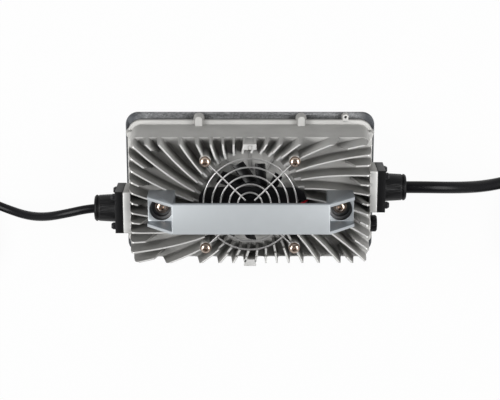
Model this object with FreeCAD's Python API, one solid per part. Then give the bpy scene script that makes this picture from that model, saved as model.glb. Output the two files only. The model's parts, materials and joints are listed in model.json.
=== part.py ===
import FreeCAD, Part
import math
import os

from FreeCAD import Placement, Rotation, Vector

# Fan-cooled sealed battery charger: die-cast finned case on a sheet base, with a bar handle.
# Millimetres. Z is up, out of the fins. X runs along the long side. The origin is the middle of the
# base plate's underside. The mains lead leaves at the -X end and the battery lead at the +X end.

# Base plate and gasket
plate_length = 207.6
plate_width = 122.4
plate_corner_radius = 10.5
plate_thickness = 1.6
gasket_thickness = 1.0

# Rim and walls of the casting
rim_inset_end = 1.8
rim_inset_side = 5.4
rim_thickness = 5.4
rim_width_end = 2.8
rim_width_side = 3.8
rim_corner_radius = 11.8
draft_angle = 2.6
wall_thickness = 3.0
deck_height = 48.0
deck_thickness = 4.0

# Curved cooling fins, one family of long ones and one of short ones between them
fin_height = 22.0
fin_count = 36
fin_tip_thickness = 1.3
fin_draft_angle = 1.3
fin_start_angle = 88.5
fin_swing = 16.5
fin_step_length = 4.9
fin_end_rounding = 1.8
fin_overreach = 1.12
short_fin_radius = 89.5
short_fin_ramp = 7.0

# Fan well with low ribs on its floor
well_radius = 40.5
well_foot = 2.0
well_rib_count = 12
well_rib_width = 2.0
well_rib_height = 1.2
well_rib_inner_radius = 22.0

# Small blocks cast between the middle fins of the long sides
web_width = 10.0
web_depth = 4.6
web_pad_radius = 2.0
web_pad_inset = 2.6
web_pad_recess = 0.6
lower_block_projection = 3.4
lower_block_drop = 4.0
lower_block_clearing = 8.0

# Screws that hold the base plate
base_screw_pitch = 85.0
base_screw_end_pitch = 88.0
rim_boss_height = 10.4
rim_boss_tip_radius = 3.05
rim_boss_root_radius = 4.6
base_screw_shank_radius = 1.5
base_screw_head_radius = 3.0
base_screw_head_height = 1.4
base_screw_length = 10.0

# Earth lug beside the rim
lug_place = 79.2
lug_tip_radius = 2.4
lug_root_radius = 3.0
lug_hole_radius = 1.1
lug_hole_depth = 4.0

# Wire finger guard and its screws
guard_screw_pitch = 71.1
guard_wire = 1.4
guard_wire_sides = 6
guard_ring_radii = (37.4, 30.5, 23.6, 16.6, 9.8)
guard_weld = 0.1
guard_spoke_end = 5.0
guard_post_radius = 4.5
guard_screw_shank_radius = 2.0
guard_screw_length = 12.0
guard_screw_first_turn = 20.0
guard_screw_turn_step = 25.0
guard_washer_radius = 4.2
guard_washer_thickness = 0.8
guard_screw_head_radius = 3.8
guard_screw_head_height = 3.2

# Fan
impeller_radius = 32.0
blade_count = 11
blade_start_angle = 109.0
blade_sweep = 18.0
blade_width = 7.6
blade_rise = 9.2
blade_thickness = 1.2
blade_cup = 1.1
hub_radius = 16.5
hub_wall = 1.3
hub_floor = 1.6
hub_height = 10.5
hub_gap = 1.4
magnet_thickness = 2.0
magnet_height = 8.0
stator_air_gap = 0.5
stator_height = 6.0
stator_slots = 6
stator_slot_place = 0.72
stator_slot_size = 0.22
bearing_radius = 3.2
bearing_height = 10.0
shaft_radius = 1.5
running_clearance = 0.05
fan_bar_width = 26.0
fan_bar_left = 41.0
fan_bar_right = 44.9
fan_bar_corner = 10.0
fan_bar_thickness = 3.4
fan_bar_guard_gap = 1.7
fan_post_place = 37.6
fan_post_offset = -6.2
fan_post_radius = 3.2
fan_screw_shank_radius = 1.25
fan_screw_head_radius = 2.5
fan_screw_head_height = 1.3
fan_screw_length = 9.0

# Two wires from the fan through the deck
wire_radius = 0.8
wire_spacing = 1.8
wire_channel_start = 15.0
wire_turn = 22.0
wire_drop_radius = 6.0
wire_inner_length = 9.0
wire_line = -1.6
grommet_place = (46.8, 1.2)
grommet_radius = 2.3
grommet_rise = 0.8

# Bar handle, cut open at both ends
handle_length = 162.2
handle_offset = 0.7
handle_width = 24.0
handle_height = 44.6
grip_thickness = 5.0
leg_length = 20.9
leg_web_height = 13.5
leg_side_wall = 2.3
leg_end_wall = 0.6
bevel_drop = 22.9
leg_foot_thickness = 4.0
leg_bore_radius = 9.2
leg_bore_depth = 4.5
leg_seat_radius = 7.4
handle_post_radius = 7.0
handle_screw_shank_radius = 2.5
handle_screw_head_radius = 4.3
handle_screw_head_height = 3.4
handle_screw_length = 18.0
handle_screw_turn = 30.0
handle_washer_radius = 5.6
handle_washer_thickness = 1.2
spring_washer_radius = 4.2
spring_washer_thickness = 1.3
spring_washer_split = 0.6

# Cable glands, one at each end
gland_offset = 8.7
gland_height = 48.0
gland_flange_width = 34.4
gland_flange_height = 32.0
gland_flange_thickness = 5.9
gland_flange_corner = 1.2
gland_boss_projection = 4.5
gland_gasket_thickness = 0.6
gland_barrel_root_radius = 11.45
gland_barrel_tip_radius = 10.45
gland_barrel_length = 17.6
gland_lip_length = 2.6
gland_lip_rise = 0.5
gland_seal_radius = 7.4
gland_seal_recess = 1.0
gland_screw_pitch_across = 24.0
gland_screw_pitch_up = 23.0
gland_screw_shank_radius = 1.5
gland_screw_head_radius = 2.9
gland_screw_head_height = 3.5
gland_screw_length = 9.5
entry_radius = 3.0
entry_drop = 2.0
entry_length = 18.0

# Breather vent on the wall under the battery lead
vent_place = -25.8
vent_height = 34.0
vent_radius = 6.9
vent_thickness = 5.6
vent_pad_radius = 8.2
vent_pad_rise = 0.6
vent_shank_radius = 4.0
vent_shank_length = 8.0
vent_notch_count = 8
vent_notch_radius = 1.0
vent_notch_length = 3.4
vent_nut_radius = 6.0
vent_nut_thickness = 2.4

# Inside: board, parts on it and the devices that are cooled by the deck
board_end_gap = 16.7
board_side_gap = 19.2
board_thickness = 1.6
board_corner_radius = 2.0
standoff_height = 8.0
standoff_radius = 3.0
standoff_inset = 6.0
board_screw_shank_radius = 1.5
board_screw_head_radius = 2.7
board_screw_head_height = 1.8
board_screw_length = 7.0
transformer_place = (-22.0, 14.0)
transformer_headroom = 3.8
transformer_length = 44.0
transformer_depth = 16.0
transformer_leg = 7.0
transformer_winding_gap = 0.4
transformer_winding_wall = 7.0
transformer_winding_round = 0.6
capacitor_end_distance = 22.0
capacitor_lines = (4.0, 30.0)
capacitor_headroom = 2.8
capacitor_radius = 12.0
capacitor_groove = 0.5
capacitor_groove_height = 2.5
input_choke_end_distance = 16.0
input_choke_side_distance = 20.0
output_choke_end_distance = 40.0
output_choke_line = 16.0
choke_inner_radius = 5.0
choke_outer_radius = 11.0
choke_height = 11.0
choke_turns = 16
choke_groove_radius = 0.7
relay_place = (12.0, 26.0)
relay_length = 12.0
relay_width = 24.0
relay_height = 15.0
relay_corner = 1.0
fuse_end_distance = 48.0
fuse_side_distance = 20.0
fuse_radius = 2.6
fuse_length = 20.0
fuse_cap_length = 5.0
fuse_cap_rise = 0.4
control_board_end_distance = 26.0
control_board_line = -6.0
control_board_length = 40.0
control_board_headroom = 10.8
terminal_end_distance = 10.0
terminal_line = 16.0
terminal_length = 10.0
terminal_width = 26.0
terminal_height = 14.0
terminal_hole_radius = 2.6
terminal_hole_depth = 6.0
device_count = 6
device_share = 0.158
device_width = 15.8
device_thickness = 5.0
device_height = 20.0
device_leg_width = 1.2
device_leg_pitch = 5.4
device_leg_thickness = 0.6
spreader_end_distance = 18.0
spreader_thickness = 7.0
spreader_height = 22.0
spreader_side_distance = 8.0
clamp_height = 6.0
clamp_thickness = 3.0
clamp_drop = 12.0

# Mains lead: round sheath, neat coil, angled two-pin plug with side earth contacts
ac_radius = 3.65
ac_route = (
    (-115.0, -8.7, 48.0),
    (-128.5, -8.7, 48.0),
    (-151.0, -14.9, 43.8),
    (-169.0, -20.8, 33.2),
    (-186.0, -23.4, 20.2),
    (-204.0, -21.0, 8.8),
    (-222.5, -14.8, 4.0),
    (-243.3, -2.6, 3.65),
)
ac_coil_centre = (-267.0, -43.6)
ac_coil_radius = 40.0
ac_coil_lanes = 3
ac_coil_layers = 2
ac_tail_route = (
    (-226.0, -19.9, 10.95),
    (-233.0, -7.8, 11.3),
    (-243.5, 5.6, 11.3),
    (-257.6, 15.1, 11.1),
    (-273.0, 19.2, 11.0),
    (-287.0, 19.2, 11.0),
)
ac_plug_turn = -90.0
plug_radius = 18.5
plug_height = 24.0
plug_edge = 3.0
plug_relief_height = 11.0
plug_relief_root_radius = 7.5
plug_relief_tip_radius = 4.6
plug_relief_length = 22.0
plug_pin_radius = 2.4
plug_pin_length = 19.0
plug_pin_pitch = 19.0
plug_earth_width = 5.0
plug_earth_depth = 2.6
plug_earth_drop = 16.0
plug_earth_thickness = 1.0

coil_bevel = 0.8

# Battery lead: thicker sheath, coil, two-pole connector
dc_radius = 4.95
dc_route = (
    (115.0, 8.7, 48.0),
    (138.0, 8.7, 48.0),
    (158.0, 7.2, 43.6),
    (177.0, 4.6, 33.4),
    (195.0, 2.4, 20.4),
    (213.0, 2.8, 9.9),
    (231.0, 6.8, 5.1),
    (248.6, 15.1, 4.95),
)
dc_coil_centre = (276.3, -32.9)
dc_coil_radius = 50.5
dc_coil_lanes = 2
dc_coil_layers = 2
dc_tail_route = (
    (228.3, -5.2, 14.85),
    (238.3, 12.1, 15.2),
    (250.6, 27.0, 14.4),
    (267.0, 38.4, 11.6),
    (285.5, 44.6, 8.6),
    (303.5, 44.9, 8.0),
)
dc_connector_turn = 90.0
connector_width = 36.0
connector_length = 44.0
connector_height = 16.0
connector_corner = 3.0
connector_mouth_width = 28.0
connector_mouth_height = 9.0
connector_mouth_depth = 16.0
connector_groove_count = 3
connector_groove_start = 7.0
connector_groove_pitch = 4.5
contact_width = 9.0
contact_thickness = 1.6
contact_pitch = 14.0

# Proportions of every cross-slotted screw head, as parts of its height and radius
screw_shoulder = 0.55
screw_crown = 0.66
screw_slot_length = 0.56
screw_slot_width = 0.13

# Share of the shorter run that each bend of a lead takes up
lead_bend_share = 0.45

# Clearances between pieces that are screwed, glued or slid together
thread_clearance = 0.1
through_clearance = 0.3
seat_clearance = 0.2

# Levels and outlines that follow from the sizes above
rim_underside = plate_thickness + gasket_thickness
rim_face = rim_underside + rim_thickness
fin_tip = deck_height + fin_height
ceiling = deck_height - deck_thickness
draft_slope = math.tan(math.radians(draft_angle))
rim_half_x = plate_length / 2 - rim_inset_end
rim_half_y = plate_width / 2 - rim_inset_side
wall_half_x = rim_half_x - rim_width_end
wall_half_y = rim_half_y - rim_width_side
wall_corner_radius = rim_corner_radius - rim_width_end
guard_wire_radius = guard_wire / 2
guard_wire_flat = guard_wire_radius * math.sin(math.pi / 3)
spoke_level = fin_tip + guard_wire_flat
ring_level = spoke_level - 2 * guard_wire_flat + guard_weld
guard_washer_level = spoke_level + guard_wire_flat
guard_head_level = guard_washer_level + guard_washer_thickness
bar_top = ring_level - guard_wire_flat - fan_bar_guard_gap
bar_underside = bar_top - fan_bar_thickness
hub_top = bar_underside - hub_gap
hub_bottom = hub_top - hub_height
board_underside = plate_thickness + standoff_height
board_top = board_underside + board_thickness
board_length = plate_length - 2 * board_end_gap
board_width = plate_width - 2 * board_side_gap
board_end = board_length / 2
standoff_pitch_long = board_length - 2 * standoff_inset
standoff_pitch_wide = board_width - 2 * standoff_inset
transformer_height = ceiling - board_top - transformer_headroom
capacitor_places = [(capacitor_end_distance - board_end, line) for line in capacitor_lines]
capacitor_height = ceiling - board_top - capacitor_headroom
input_choke_place = (input_choke_end_distance - board_end, input_choke_side_distance - board_width / 2)
output_choke_place = (board_end - output_choke_end_distance, output_choke_line)
fuse_place = (fuse_end_distance - board_end, fuse_side_distance - board_width / 2)
control_board_place = (board_end - control_board_end_distance, control_board_line)
control_board_height = ceiling - board_top - control_board_headroom
terminal_place = (board_end - terminal_end_distance, terminal_line)
spreader_length = board_length - 2 * spreader_end_distance
spreader_place = spreader_side_distance - board_width / 2
device_pitch = spreader_length * device_share
leg_centre = handle_length / 2 - leg_length / 2
leg_inner = handle_length / 2 - leg_length
handle_top = fin_tip + handle_height
gland_wall = wall_half_x - (gland_height - rim_face) * draft_slope
gland_face = gland_wall + gland_boss_projection
flange_inner = gland_face + gland_gasket_thickness
flange_outer = flange_inner + gland_flange_thickness
gland_end = flange_outer + gland_barrel_length
vent_wall = wall_half_x - (vent_height - vent_pad_radius - rim_face) * draft_slope + vent_pad_rise
vent_inner_wall = wall_half_x - wall_thickness - (vent_height + vent_nut_radius - rim_face) * draft_slope
bar_centre = (fan_bar_right - fan_bar_left) / 2
bar_length = fan_bar_left + fan_bar_right
wire_level = bar_top - wire_radius - seat_clearance
wire_heading = math.radians(wire_turn)
wire_drop_start = (
    grommet_place[0] - wire_drop_radius * math.cos(wire_heading),
    grommet_place[1] - wire_drop_radius * math.sin(wire_heading),
)
wire_turn_radius = (wire_drop_start[1] - wire_line) / (1 - math.cos(wire_heading))
wire_turn_start = wire_drop_start[0] - wire_turn_radius * math.sin(wire_heading)
wire_channel_half = wire_spacing / 2 + wire_radius + seat_clearance
overrun = 1.0
embed = 0.5


def export(node, solids):
    shape = solids[0] if len(solids) == 1 else Part.makeCompound(solids)
    shape.exportStep("parts/" + node + ".step")


def rounded_outline(half_x, half_y, radius, level, centre=(0.0, 0.0)):
    # Rectangle with round corners, as straight sides and true arcs
    cx, cy = centre
    corners = ((1, 1, 0), (-1, 1, 90), (-1, -1, 180), (1, -1, 270))
    arcs = []
    for sx, sy, start in corners:
        ax = cx + sx * (half_x - radius)
        ay = cy + sy * (half_y - radius)
        points = []
        for turn in (0, 45, 90):
            angle = math.radians(start + turn)
            points.append(Vector(ax + radius * math.cos(angle), ay + radius * math.sin(angle), level))
        arcs.append(points)
    edges = []
    for index, points in enumerate(arcs):
        edges.append(Part.Arc(*points).toShape())
        following = arcs[(index + 1) % len(arcs)]
        edges.append(Part.makeLine(points[2], following[0]))
    return Part.Wire(edges)


def rounded_block(length, width, radius, bottom, top, centre=(0.0, 0.0)):
    outline = rounded_outline(length / 2, width / 2, radius, bottom, centre)
    return Part.Face(outline).extrude(Vector(0, 0, top - bottom))


def block(low, high):
    size = Vector(*high) - Vector(*low)
    return Part.makeBox(size.x, size.y, size.z, Vector(*low))


def cylinder(radius, bottom, top, place=(0.0, 0.0)):
    return Part.makeCylinder(radius, top - bottom, Vector(place[0], place[1], bottom))


def pipe(outer, inner, bottom, top, place=(0.0, 0.0)):
    tool = cylinder(inner, bottom - overrun, top + overrun, place)
    return cylinder(outer, bottom, top, place).cut(tool)


def slot_outline(radius, reach, level):
    # Round outer end, straight sides running back towards the wall along -Y
    side = Vector(radius, 0, level)
    left = Vector(-radius, 0, level)
    end = Part.Arc(side, Vector(0, radius, level), left).toShape()
    left_back = Vector(-radius, -reach, level)
    right_back = Vector(radius, -reach, level)
    return Part.Wire([
        end,
        Part.makeLine(left, left_back),
        Part.makeLine(left_back, right_back),
        Part.makeLine(right_back, side),
    ])


def drafted_boss(root_radius, tip_radius, reach, bottom, top):
    root = slot_outline(root_radius, reach, bottom)
    tip = slot_outline(tip_radius, reach, top)
    return Part.makeLoft([root, tip], True, True)


def placed(shape, x, y, z=0.0, turn=0.0):
    copy = shape.copy()
    move = Placement(Vector(x, y, z), Rotation(Vector(0, 0, 1), turn))
    copy.Placement = move.multiply(copy.Placement)
    return copy


def turned_profile(points):
    # Closed outline in X and Z, given once round, turned about Z
    corners = [Vector(x, 0, z) for x, z in points]
    return Part.Face(Part.makePolygon(corners + corners[:1])).revolve(Vector(0, 0, 0), Vector(0, 0, 1), 360)


def pan_screw(head_radius, head_height, shank_radius, length):
    # Screw along -Z with the underside of its round head at Z = 0
    shoulder = head_height * screw_shoulder
    body = turned_profile([
        (0, -length),
        (shank_radius, -length),
        (shank_radius, 0),
        (head_radius, 0),
        (head_radius, shoulder),
        (head_radius * screw_crown, head_height),
        (0, head_height),
    ])
    slot_half = head_radius * screw_slot_length
    slot_side = head_radius * screw_slot_width
    slots = []
    for turn in (0, 90):
        slot = block((-slot_half, -slot_side, shoulder), (slot_half, slot_side, head_height + overrun))
        slots.append(placed(slot, 0.0, 0.0, 0.0, turn))
    return body.cut(slots)


def leg_places():
    return [(handle_offset + side * leg_centre, 0.0) for side in (-1, 1)]


def corner_places(pitch_x, pitch_y):
    return [(sx * pitch_x / 2, sy * pitch_y / 2) for sx in (-1, 1) for sy in (-1, 1)]


# Housing

def fin_angle(start, radius):
    return math.radians(start - fin_swing * math.log(radius / well_radius))


def fin_point(start, radius):
    angle = fin_angle(start, radius)
    return Vector(radius * math.cos(angle), radius * math.sin(angle), 0)


def fin_wall(start, inner, outer):
    # Tapered wall on the circular arc that follows the outward spiral
    near = fin_point(start, inner)
    middle = fin_point(start, math.sqrt(inner * outer))
    far = fin_point(start, outer)
    circle = Part.Arc(near, middle, far).toShape().Curve
    centre = circle.Center
    arc_radius = circle.Radius
    half_tip = fin_tip_thickness / 2
    half_root = half_tip + (fin_height + embed) * math.tan(math.radians(fin_draft_angle))
    section = Part.makePolygon([
        Vector(arc_radius - half_root, 0, deck_height - embed),
        Vector(arc_radius + half_root, 0, deck_height - embed),
        Vector(arc_radius + half_tip, 0, fin_tip + embed),
        Vector(arc_radius - half_tip, 0, fin_tip + embed),
        Vector(arc_radius - half_root, 0, deck_height - embed),
    ])
    start_angle = math.degrees(math.atan2(near.y - centre.y, near.x - centre.x))
    end_angle = math.degrees(math.atan2(far.y - centre.y, far.x - centre.x))
    sweep = (end_angle - start_angle + 180) % 360 - 180
    wall = Part.Face(section).revolve(Vector(0, 0, 0), Vector(0, 0, 1), sweep)
    wall.Placement = Placement(centre, Rotation(Vector(0, 0, 1), start_angle))
    return wall


def reach_of_outline(angle):
    # Distance from the middle to the wall line in one direction
    across = abs(math.cos(angle)) / wall_half_x
    along = abs(math.sin(angle)) / wall_half_y
    return 1 / max(across, along)


def fins():
    step = 360 / fin_count
    walls = []
    for index in range(fin_count):
        start = fin_start_angle + index * step
        reach = reach_of_outline(fin_angle(start, wall_half_x))
        outer = min(reach, math.hypot(wall_half_x, wall_half_y)) * fin_overreach
        walls.append(fin_wall(start, well_radius - well_foot - overrun, outer))
    ramp = Part.makeCone(
        short_fin_radius - short_fin_ramp,
        short_fin_radius,
        fin_height + 2 * embed,
        Vector(0, 0, deck_height - embed),
    )
    for index in range(fin_count):
        start = fin_start_angle + (index + 0.5) * step
        reach = reach_of_outline(fin_angle(start, short_fin_radius))
        if reach > short_fin_radius - short_fin_ramp:
            outer = math.hypot(wall_half_x, wall_half_y)
            inner = short_fin_radius - 2 * short_fin_ramp
            walls.append(fin_wall(start, inner, outer).cut(ramp))
    return walls


def walls_outline(level, inset):
    shrink = (level - rim_face) * draft_slope + inset
    return rounded_outline(
        wall_half_x - shrink,
        wall_half_y - shrink,
        max(wall_corner_radius - shrink, 1.0),
        level,
    )


def drafted_walls(bottom, top, inset):
    return Part.makeLoft([walls_outline(bottom, inset), walls_outline(top, inset)], True, True)


def fan_well():
    # Coned foot along the fin ends, and a step in them that the fan bar rests on
    foot_height = bar_underside - deck_height
    foot = Part.makeCone(well_radius - well_foot, well_radius, foot_height, Vector(0, 0, deck_height))
    return foot.fuse(cylinder(well_radius + fin_step_length, bar_underside, fin_tip + overrun))


def fin_zone():
    # Everything between the fins, to be taken out of the full-height body
    zone = block(
        (-plate_length, -plate_width, deck_height),
        (plate_length, plate_width, fin_tip + overrun),
    )
    zone = zone.cut(fins()).fuse(fan_well())
    solids = []
    low = deck_height - embed
    high = fin_tip + 2 * overrun
    for place in corner_places(guard_screw_pitch, guard_screw_pitch):
        solids.append(cylinder(guard_post_radius, low, high, place))
    for place in leg_places():
        solids.append(cylinder(handle_post_radius, low, high, place))
    web_top = wall_half_y - (fin_tip - rim_face) * draft_slope
    solids.append(block(
        (-web_width / 2, web_top - web_depth, low),
        (web_width / 2, wall_half_y + overrun, high),
    ))
    return zone.cut(solids)


def rim_bosses():
    # Drafted screw bosses that stand on the rim and lean back into the walls
    boss = drafted_boss(
        rim_boss_root_radius,
        rim_boss_tip_radius,
        rim_width_side + wall_thickness / 2,
        rim_underside,
        rim_underside + rim_boss_height,
    )
    bosses = []
    for place, turn in base_screw_places():
        bosses.append(placed(boss, place[0], place[1], 0.0, turn))
    return bosses


def base_screw_places():
    side_line = plate_width / 2 - rim_boss_root_radius
    end_line = plate_length / 2 - rim_boss_root_radius
    places = []
    for sx in (-1, 1):
        for sy in (-1, 1):
            places.append(((sx * base_screw_pitch / 2, sy * side_line), 0 if sy > 0 else 180))
            places.append(((sx * end_line, sy * base_screw_end_pitch / 2), -90 if sx > 0 else 90))
    return places


def gland_boss(side):
    half_width = gland_flange_width / 2
    half_height = gland_flange_height / 2
    inner = gland_wall - embed - half_height * draft_slope
    low = (inner, -half_width, gland_height - half_height)
    high = (gland_face, half_width, gland_height + half_height)
    boss = block(low, high)
    edges = []
    for edge in boss.Edges:
        box = edge.BoundBox
        if box.XLength > embed and box.YLength < embed and box.ZLength < embed:
            edges.append(edge)
    boss = boss.makeFillet(gland_flange_corner, edges)
    return turned_to_side(boss, side)


def turned_to_side(shape, side):
    # Shapes for the +X end are drawn round the axis of the gland, then put at either end
    turn = 0 if side > 0 else 180
    return placed(shape, 0.0, side * gland_offset, 0.0, turn)


def gland_screw_centres():
    centres = []
    for y, z in corner_places(gland_screw_pitch_across, gland_screw_pitch_up):
        centres.append((y, gland_height + z))
    return centres


def lower_block():
    # Small block at the foot of the middle fins, standing out past the wall
    top = fin_tip - lower_block_drop
    edge = wall_half_y - (top - rim_face) * draft_slope
    low = (-web_width / 2, -edge - lower_block_projection, deck_height - deck_thickness / 2)
    high = (web_width / 2, -edge + web_depth * 0.5, top)
    return block(low, high)


def well_ribs():
    ribs = []
    for index in range(well_rib_count):
        rib = block(
            (well_rib_inner_radius, -well_rib_width / 2, deck_height - embed),
            (well_radius - well_foot, well_rib_width / 2, deck_height + well_rib_height),
        )
        ribs.append(placed(rib, 0.0, 0.0, 0.0, index * 360 / well_rib_count))
    return ribs


def fan_post_places():
    return [(side * fan_post_place, fan_post_offset) for side in (-1, 1)]


def fan_posts():
    low = deck_height - embed
    return [cylinder(fan_post_radius, low, bar_underside, place) for place in fan_post_places()]


def earth_lug():
    reach = rim_width_side
    lug = drafted_boss(lug_root_radius, lug_tip_radius, reach, rim_underside, rim_face)
    return placed(lug, lug_place, plate_width / 2 - lug_root_radius)


def housing_holes():
    holes = []
    for place, turn in base_screw_places():
        radius = base_screw_shank_radius + thread_clearance
        top = base_screw_length + overrun
        holes.append(cylinder(radius, rim_underside - overrun, top, place))
    for place in corner_places(guard_screw_pitch, guard_screw_pitch):
        radius = guard_screw_shank_radius + thread_clearance
        bottom = guard_head_level - guard_screw_length - overrun
        holes.append(cylinder(radius, bottom, fin_tip + overrun, place))
    for place in leg_places():
        radius = handle_screw_shank_radius + thread_clearance
        bottom = handle_head_level() - handle_screw_length - overrun
        holes.append(cylinder(radius, bottom, fin_tip + overrun, place))
    for place in fan_post_places():
        radius = fan_screw_shank_radius + thread_clearance
        bottom = bar_top - fan_screw_length - overrun
        holes.append(cylinder(radius, bottom, bar_underside + overrun, place))
    for side in (-1, 1):
        for y, z in gland_screw_centres():
            radius = gland_screw_shank_radius + thread_clearance
            hole_floor = flange_outer - gland_screw_length - embed
            hole = along_x(radius, hole_floor, gland_face + overrun, y, z)
            holes.append(turned_to_side(hole, side))
        slanted = Part.makeCylinder(
            entry_radius,
            entry_length,
            Vector(gland_face + embed, 0, gland_height - entry_drop + embed),
            Vector(-1, 0, -1),
        )
        holes.append(turned_to_side(slanted, side))
    lug_centre = (lug_place, plate_width / 2 - lug_root_radius)
    holes.append(cylinder(lug_hole_radius, rim_face - lug_hole_depth, rim_face + overrun, lug_centre))
    holes.append(cylinder(grommet_radius, ceiling - overrun, deck_height + overrun, grommet_place))
    pad_level = fin_tip - web_pad_recess
    pad_line = wall_half_y - (fin_tip - rim_face) * draft_slope - web_pad_inset
    holes.append(cylinder(web_pad_radius, pad_level, fin_tip + overrun, (0.0, pad_line)))
    hole_start = vent_inner_wall - overrun
    radius = vent_shank_radius + thread_clearance
    holes.append(along_x(radius, hole_start, vent_wall + overrun, vent_place, vent_height))
    return holes


def housing():
    body = drafted_walls(rim_underside, fin_tip, 0.0)
    top_edges = [edge for edge in body.Edges if edge.BoundBox.ZMin > fin_tip - embed]
    body = body.makeFillet(fin_end_rounding, top_edges)
    body = body.cut(fin_zone())
    rim = rounded_block(2 * rim_half_x, 2 * rim_half_y, rim_corner_radius, rim_underside, rim_face)
    additions = [rim, earth_lug(), lower_block(), gland_boss(-1), gland_boss(1)]
    additions += rim_bosses() + well_ribs() + fan_posts()
    pad_foot = vent_wall - wall_thickness / 2
    additions.append(along_x(vent_pad_radius, pad_foot, vent_wall, vent_place, vent_height))
    body = body.fuse(additions)
    clearing = [drafted_walls(rim_underside - overrun, ceiling, wall_thickness)]
    notch_line = wall_half_y - lower_block_clearing
    notch_level = fin_tip - lower_block_drop
    clearing.append(block(
        (-web_width, -wall_half_y - overrun, notch_level),
        (web_width, -notch_line, fin_tip + overrun),
    ))
    return body.cut(clearing + housing_holes())


# Base plate, gasket and the screws from below

def base_plate():
    plate = rounded_block(plate_length, plate_width, plate_corner_radius, 0.0, plate_thickness)
    sinks = []
    for place, turn in base_screw_places():
        radius = base_screw_shank_radius + through_clearance
        sinks.append(cylinder(radius, -overrun, plate_thickness + overrun, place))
        seat = base_screw_head_radius + seat_clearance
        sinks.append(cylinder(seat, -overrun, base_screw_head_height, place))
    return plate.cut(sinks)


def base_gasket():
    outer = rounded_block(2 * rim_half_x, 2 * rim_half_y, rim_corner_radius, plate_thickness, rim_underside)
    inset = wall_thickness
    opening = rounded_block(
        2 * (wall_half_x - inset),
        2 * (wall_half_y - inset),
        wall_corner_radius - inset,
        plate_thickness - overrun,
        rim_underside + overrun,
    )
    ring = outer.cut(opening)
    ears = []
    holes = []
    for place, turn in base_screw_places():
        ears.append(cylinder(rim_boss_root_radius, plate_thickness, rim_underside, place))
        radius = base_screw_shank_radius + through_clearance
        holes.append(cylinder(radius, plate_thickness - overrun, rim_underside + overrun, place))
    return ring.fuse(ears).cut(holes).cut(opening)


def base_screws():
    # Flat thin heads let into the plate, shanks up into the rim bosses
    screws = []
    for place, turn in base_screw_places():
        head = cylinder(base_screw_head_radius, 0.0, base_screw_head_height, place)
        shank = cylinder(base_screw_shank_radius, base_screw_head_height - embed, base_screw_length, place)
        screws.append(head.fuse(shank))
    return screws


# Finger guard

def wire_section(across):
    # Six-sided stand-in for round wire, flat above and below
    corners = []
    for index in range(guard_wire_sides):
        angle = 2 * math.pi * index / guard_wire_sides
        corners.append((across + guard_wire_radius * math.cos(angle), guard_wire_radius * math.sin(angle)))
    return corners


def wire_ring(radius, level, centre=(0.0, 0.0)):
    return placed(turned_profile(wire_section(radius)), centre[0], centre[1], level)


def guard_spoke(turn):
    corners = [Vector(guard_spoke_end, y, z) for y, z in wire_section(0.0)]
    corners.append(corners[0])
    reach = guard_screw_pitch / math.sqrt(2) - guard_eye_radius() - guard_spoke_end
    spoke = Part.Face(Part.makePolygon(corners)).extrude(Vector(reach, 0, 0))
    return placed(spoke, 0.0, 0.0, spoke_level, turn)


def guard_eye_radius():
    return guard_screw_shank_radius + through_clearance + guard_wire_radius


def fan_guard():
    # Rings welded under four spokes, each spoke ending in an eye round its screw
    pieces = []
    for radius in guard_ring_radii:
        pieces.append(wire_ring(radius, ring_level))
    for turn in (45, 135, 225, 315):
        pieces.append(guard_spoke(turn))
    for place in corner_places(guard_screw_pitch, guard_screw_pitch):
        pieces.append(wire_ring(guard_eye_radius(), spoke_level, place))
    return pieces[0].fuse(pieces[1:])


def guard_screws():
    screw = pan_screw(
        guard_screw_head_radius,
        guard_screw_head_height,
        guard_screw_shank_radius,
        guard_screw_length,
    )
    screws = []
    for index, place in enumerate(corner_places(guard_screw_pitch, guard_screw_pitch)):
        turn = guard_screw_first_turn + guard_screw_turn_step * index
        screws.append(placed(screw, place[0], place[1], guard_head_level, turn))
    return screws


def guard_washers():
    washers = []
    for place in corner_places(guard_screw_pitch, guard_screw_pitch):
        inner = guard_screw_shank_radius + through_clearance
        washers.append(pipe(guard_washer_radius, inner, guard_washer_level, guard_head_level, place))
    return washers


# Fan

def fan_bar():
    # Bar across the well that carries the motor, with a bearing tube hanging from its middle
    middle = (bar_centre, 0.0)
    bar = rounded_block(bar_length, fan_bar_width, fan_bar_corner, bar_underside, bar_top, middle)
    tube_radius = bearing_radius + hub_wall
    tube_bottom = hub_bottom + hub_floor + hub_gap / 2
    bar = bar.fuse(cylinder(tube_radius, tube_bottom, bar_underside + embed))
    cuts = [cylinder(bearing_radius, tube_bottom - overrun, tube_bottom + bearing_height)]
    channel_side = wire_line - wire_channel_half
    channel_floor = wire_level - wire_radius - seat_clearance
    cuts.append(block(
        (wire_channel_start, channel_side, channel_floor),
        (fan_bar_right + overrun, wire_line + wire_channel_half, bar_top + overrun),
    ))
    cuts.append(block(
        (wire_turn_start, channel_side, bar_underside - overrun),
        (fan_bar_right + overrun, grommet_place[1] + wire_channel_half, bar_top + overrun),
    ))
    for place in fan_post_places():
        radius = fan_screw_shank_radius + through_clearance
        cuts.append(cylinder(radius, bar_underside - overrun, bar_top + overrun, place))
    return bar.cut(cuts)


def fan_bar_screws():
    screw = pan_screw(
        fan_screw_head_radius,
        fan_screw_head_height,
        fan_screw_shank_radius,
        fan_screw_length,
    )
    return [placed(screw, x, y, bar_top) for x, y in fan_post_places()]


def fan_bearing():
    tube_bottom = hub_bottom + hub_floor + hub_gap / 2
    top = tube_bottom + bearing_height - embed
    return pipe(bearing_radius, shaft_radius + running_clearance, tube_bottom, top)


def fan_shaft():
    tube_bottom = hub_bottom + hub_floor + hub_gap / 2
    return cylinder(shaft_radius, hub_bottom + embed, tube_bottom + bearing_height - 2 * embed)


def magnet_outer():
    return hub_radius - hub_wall


def stator_radius():
    return magnet_outer() - magnet_thickness - stator_air_gap


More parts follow.
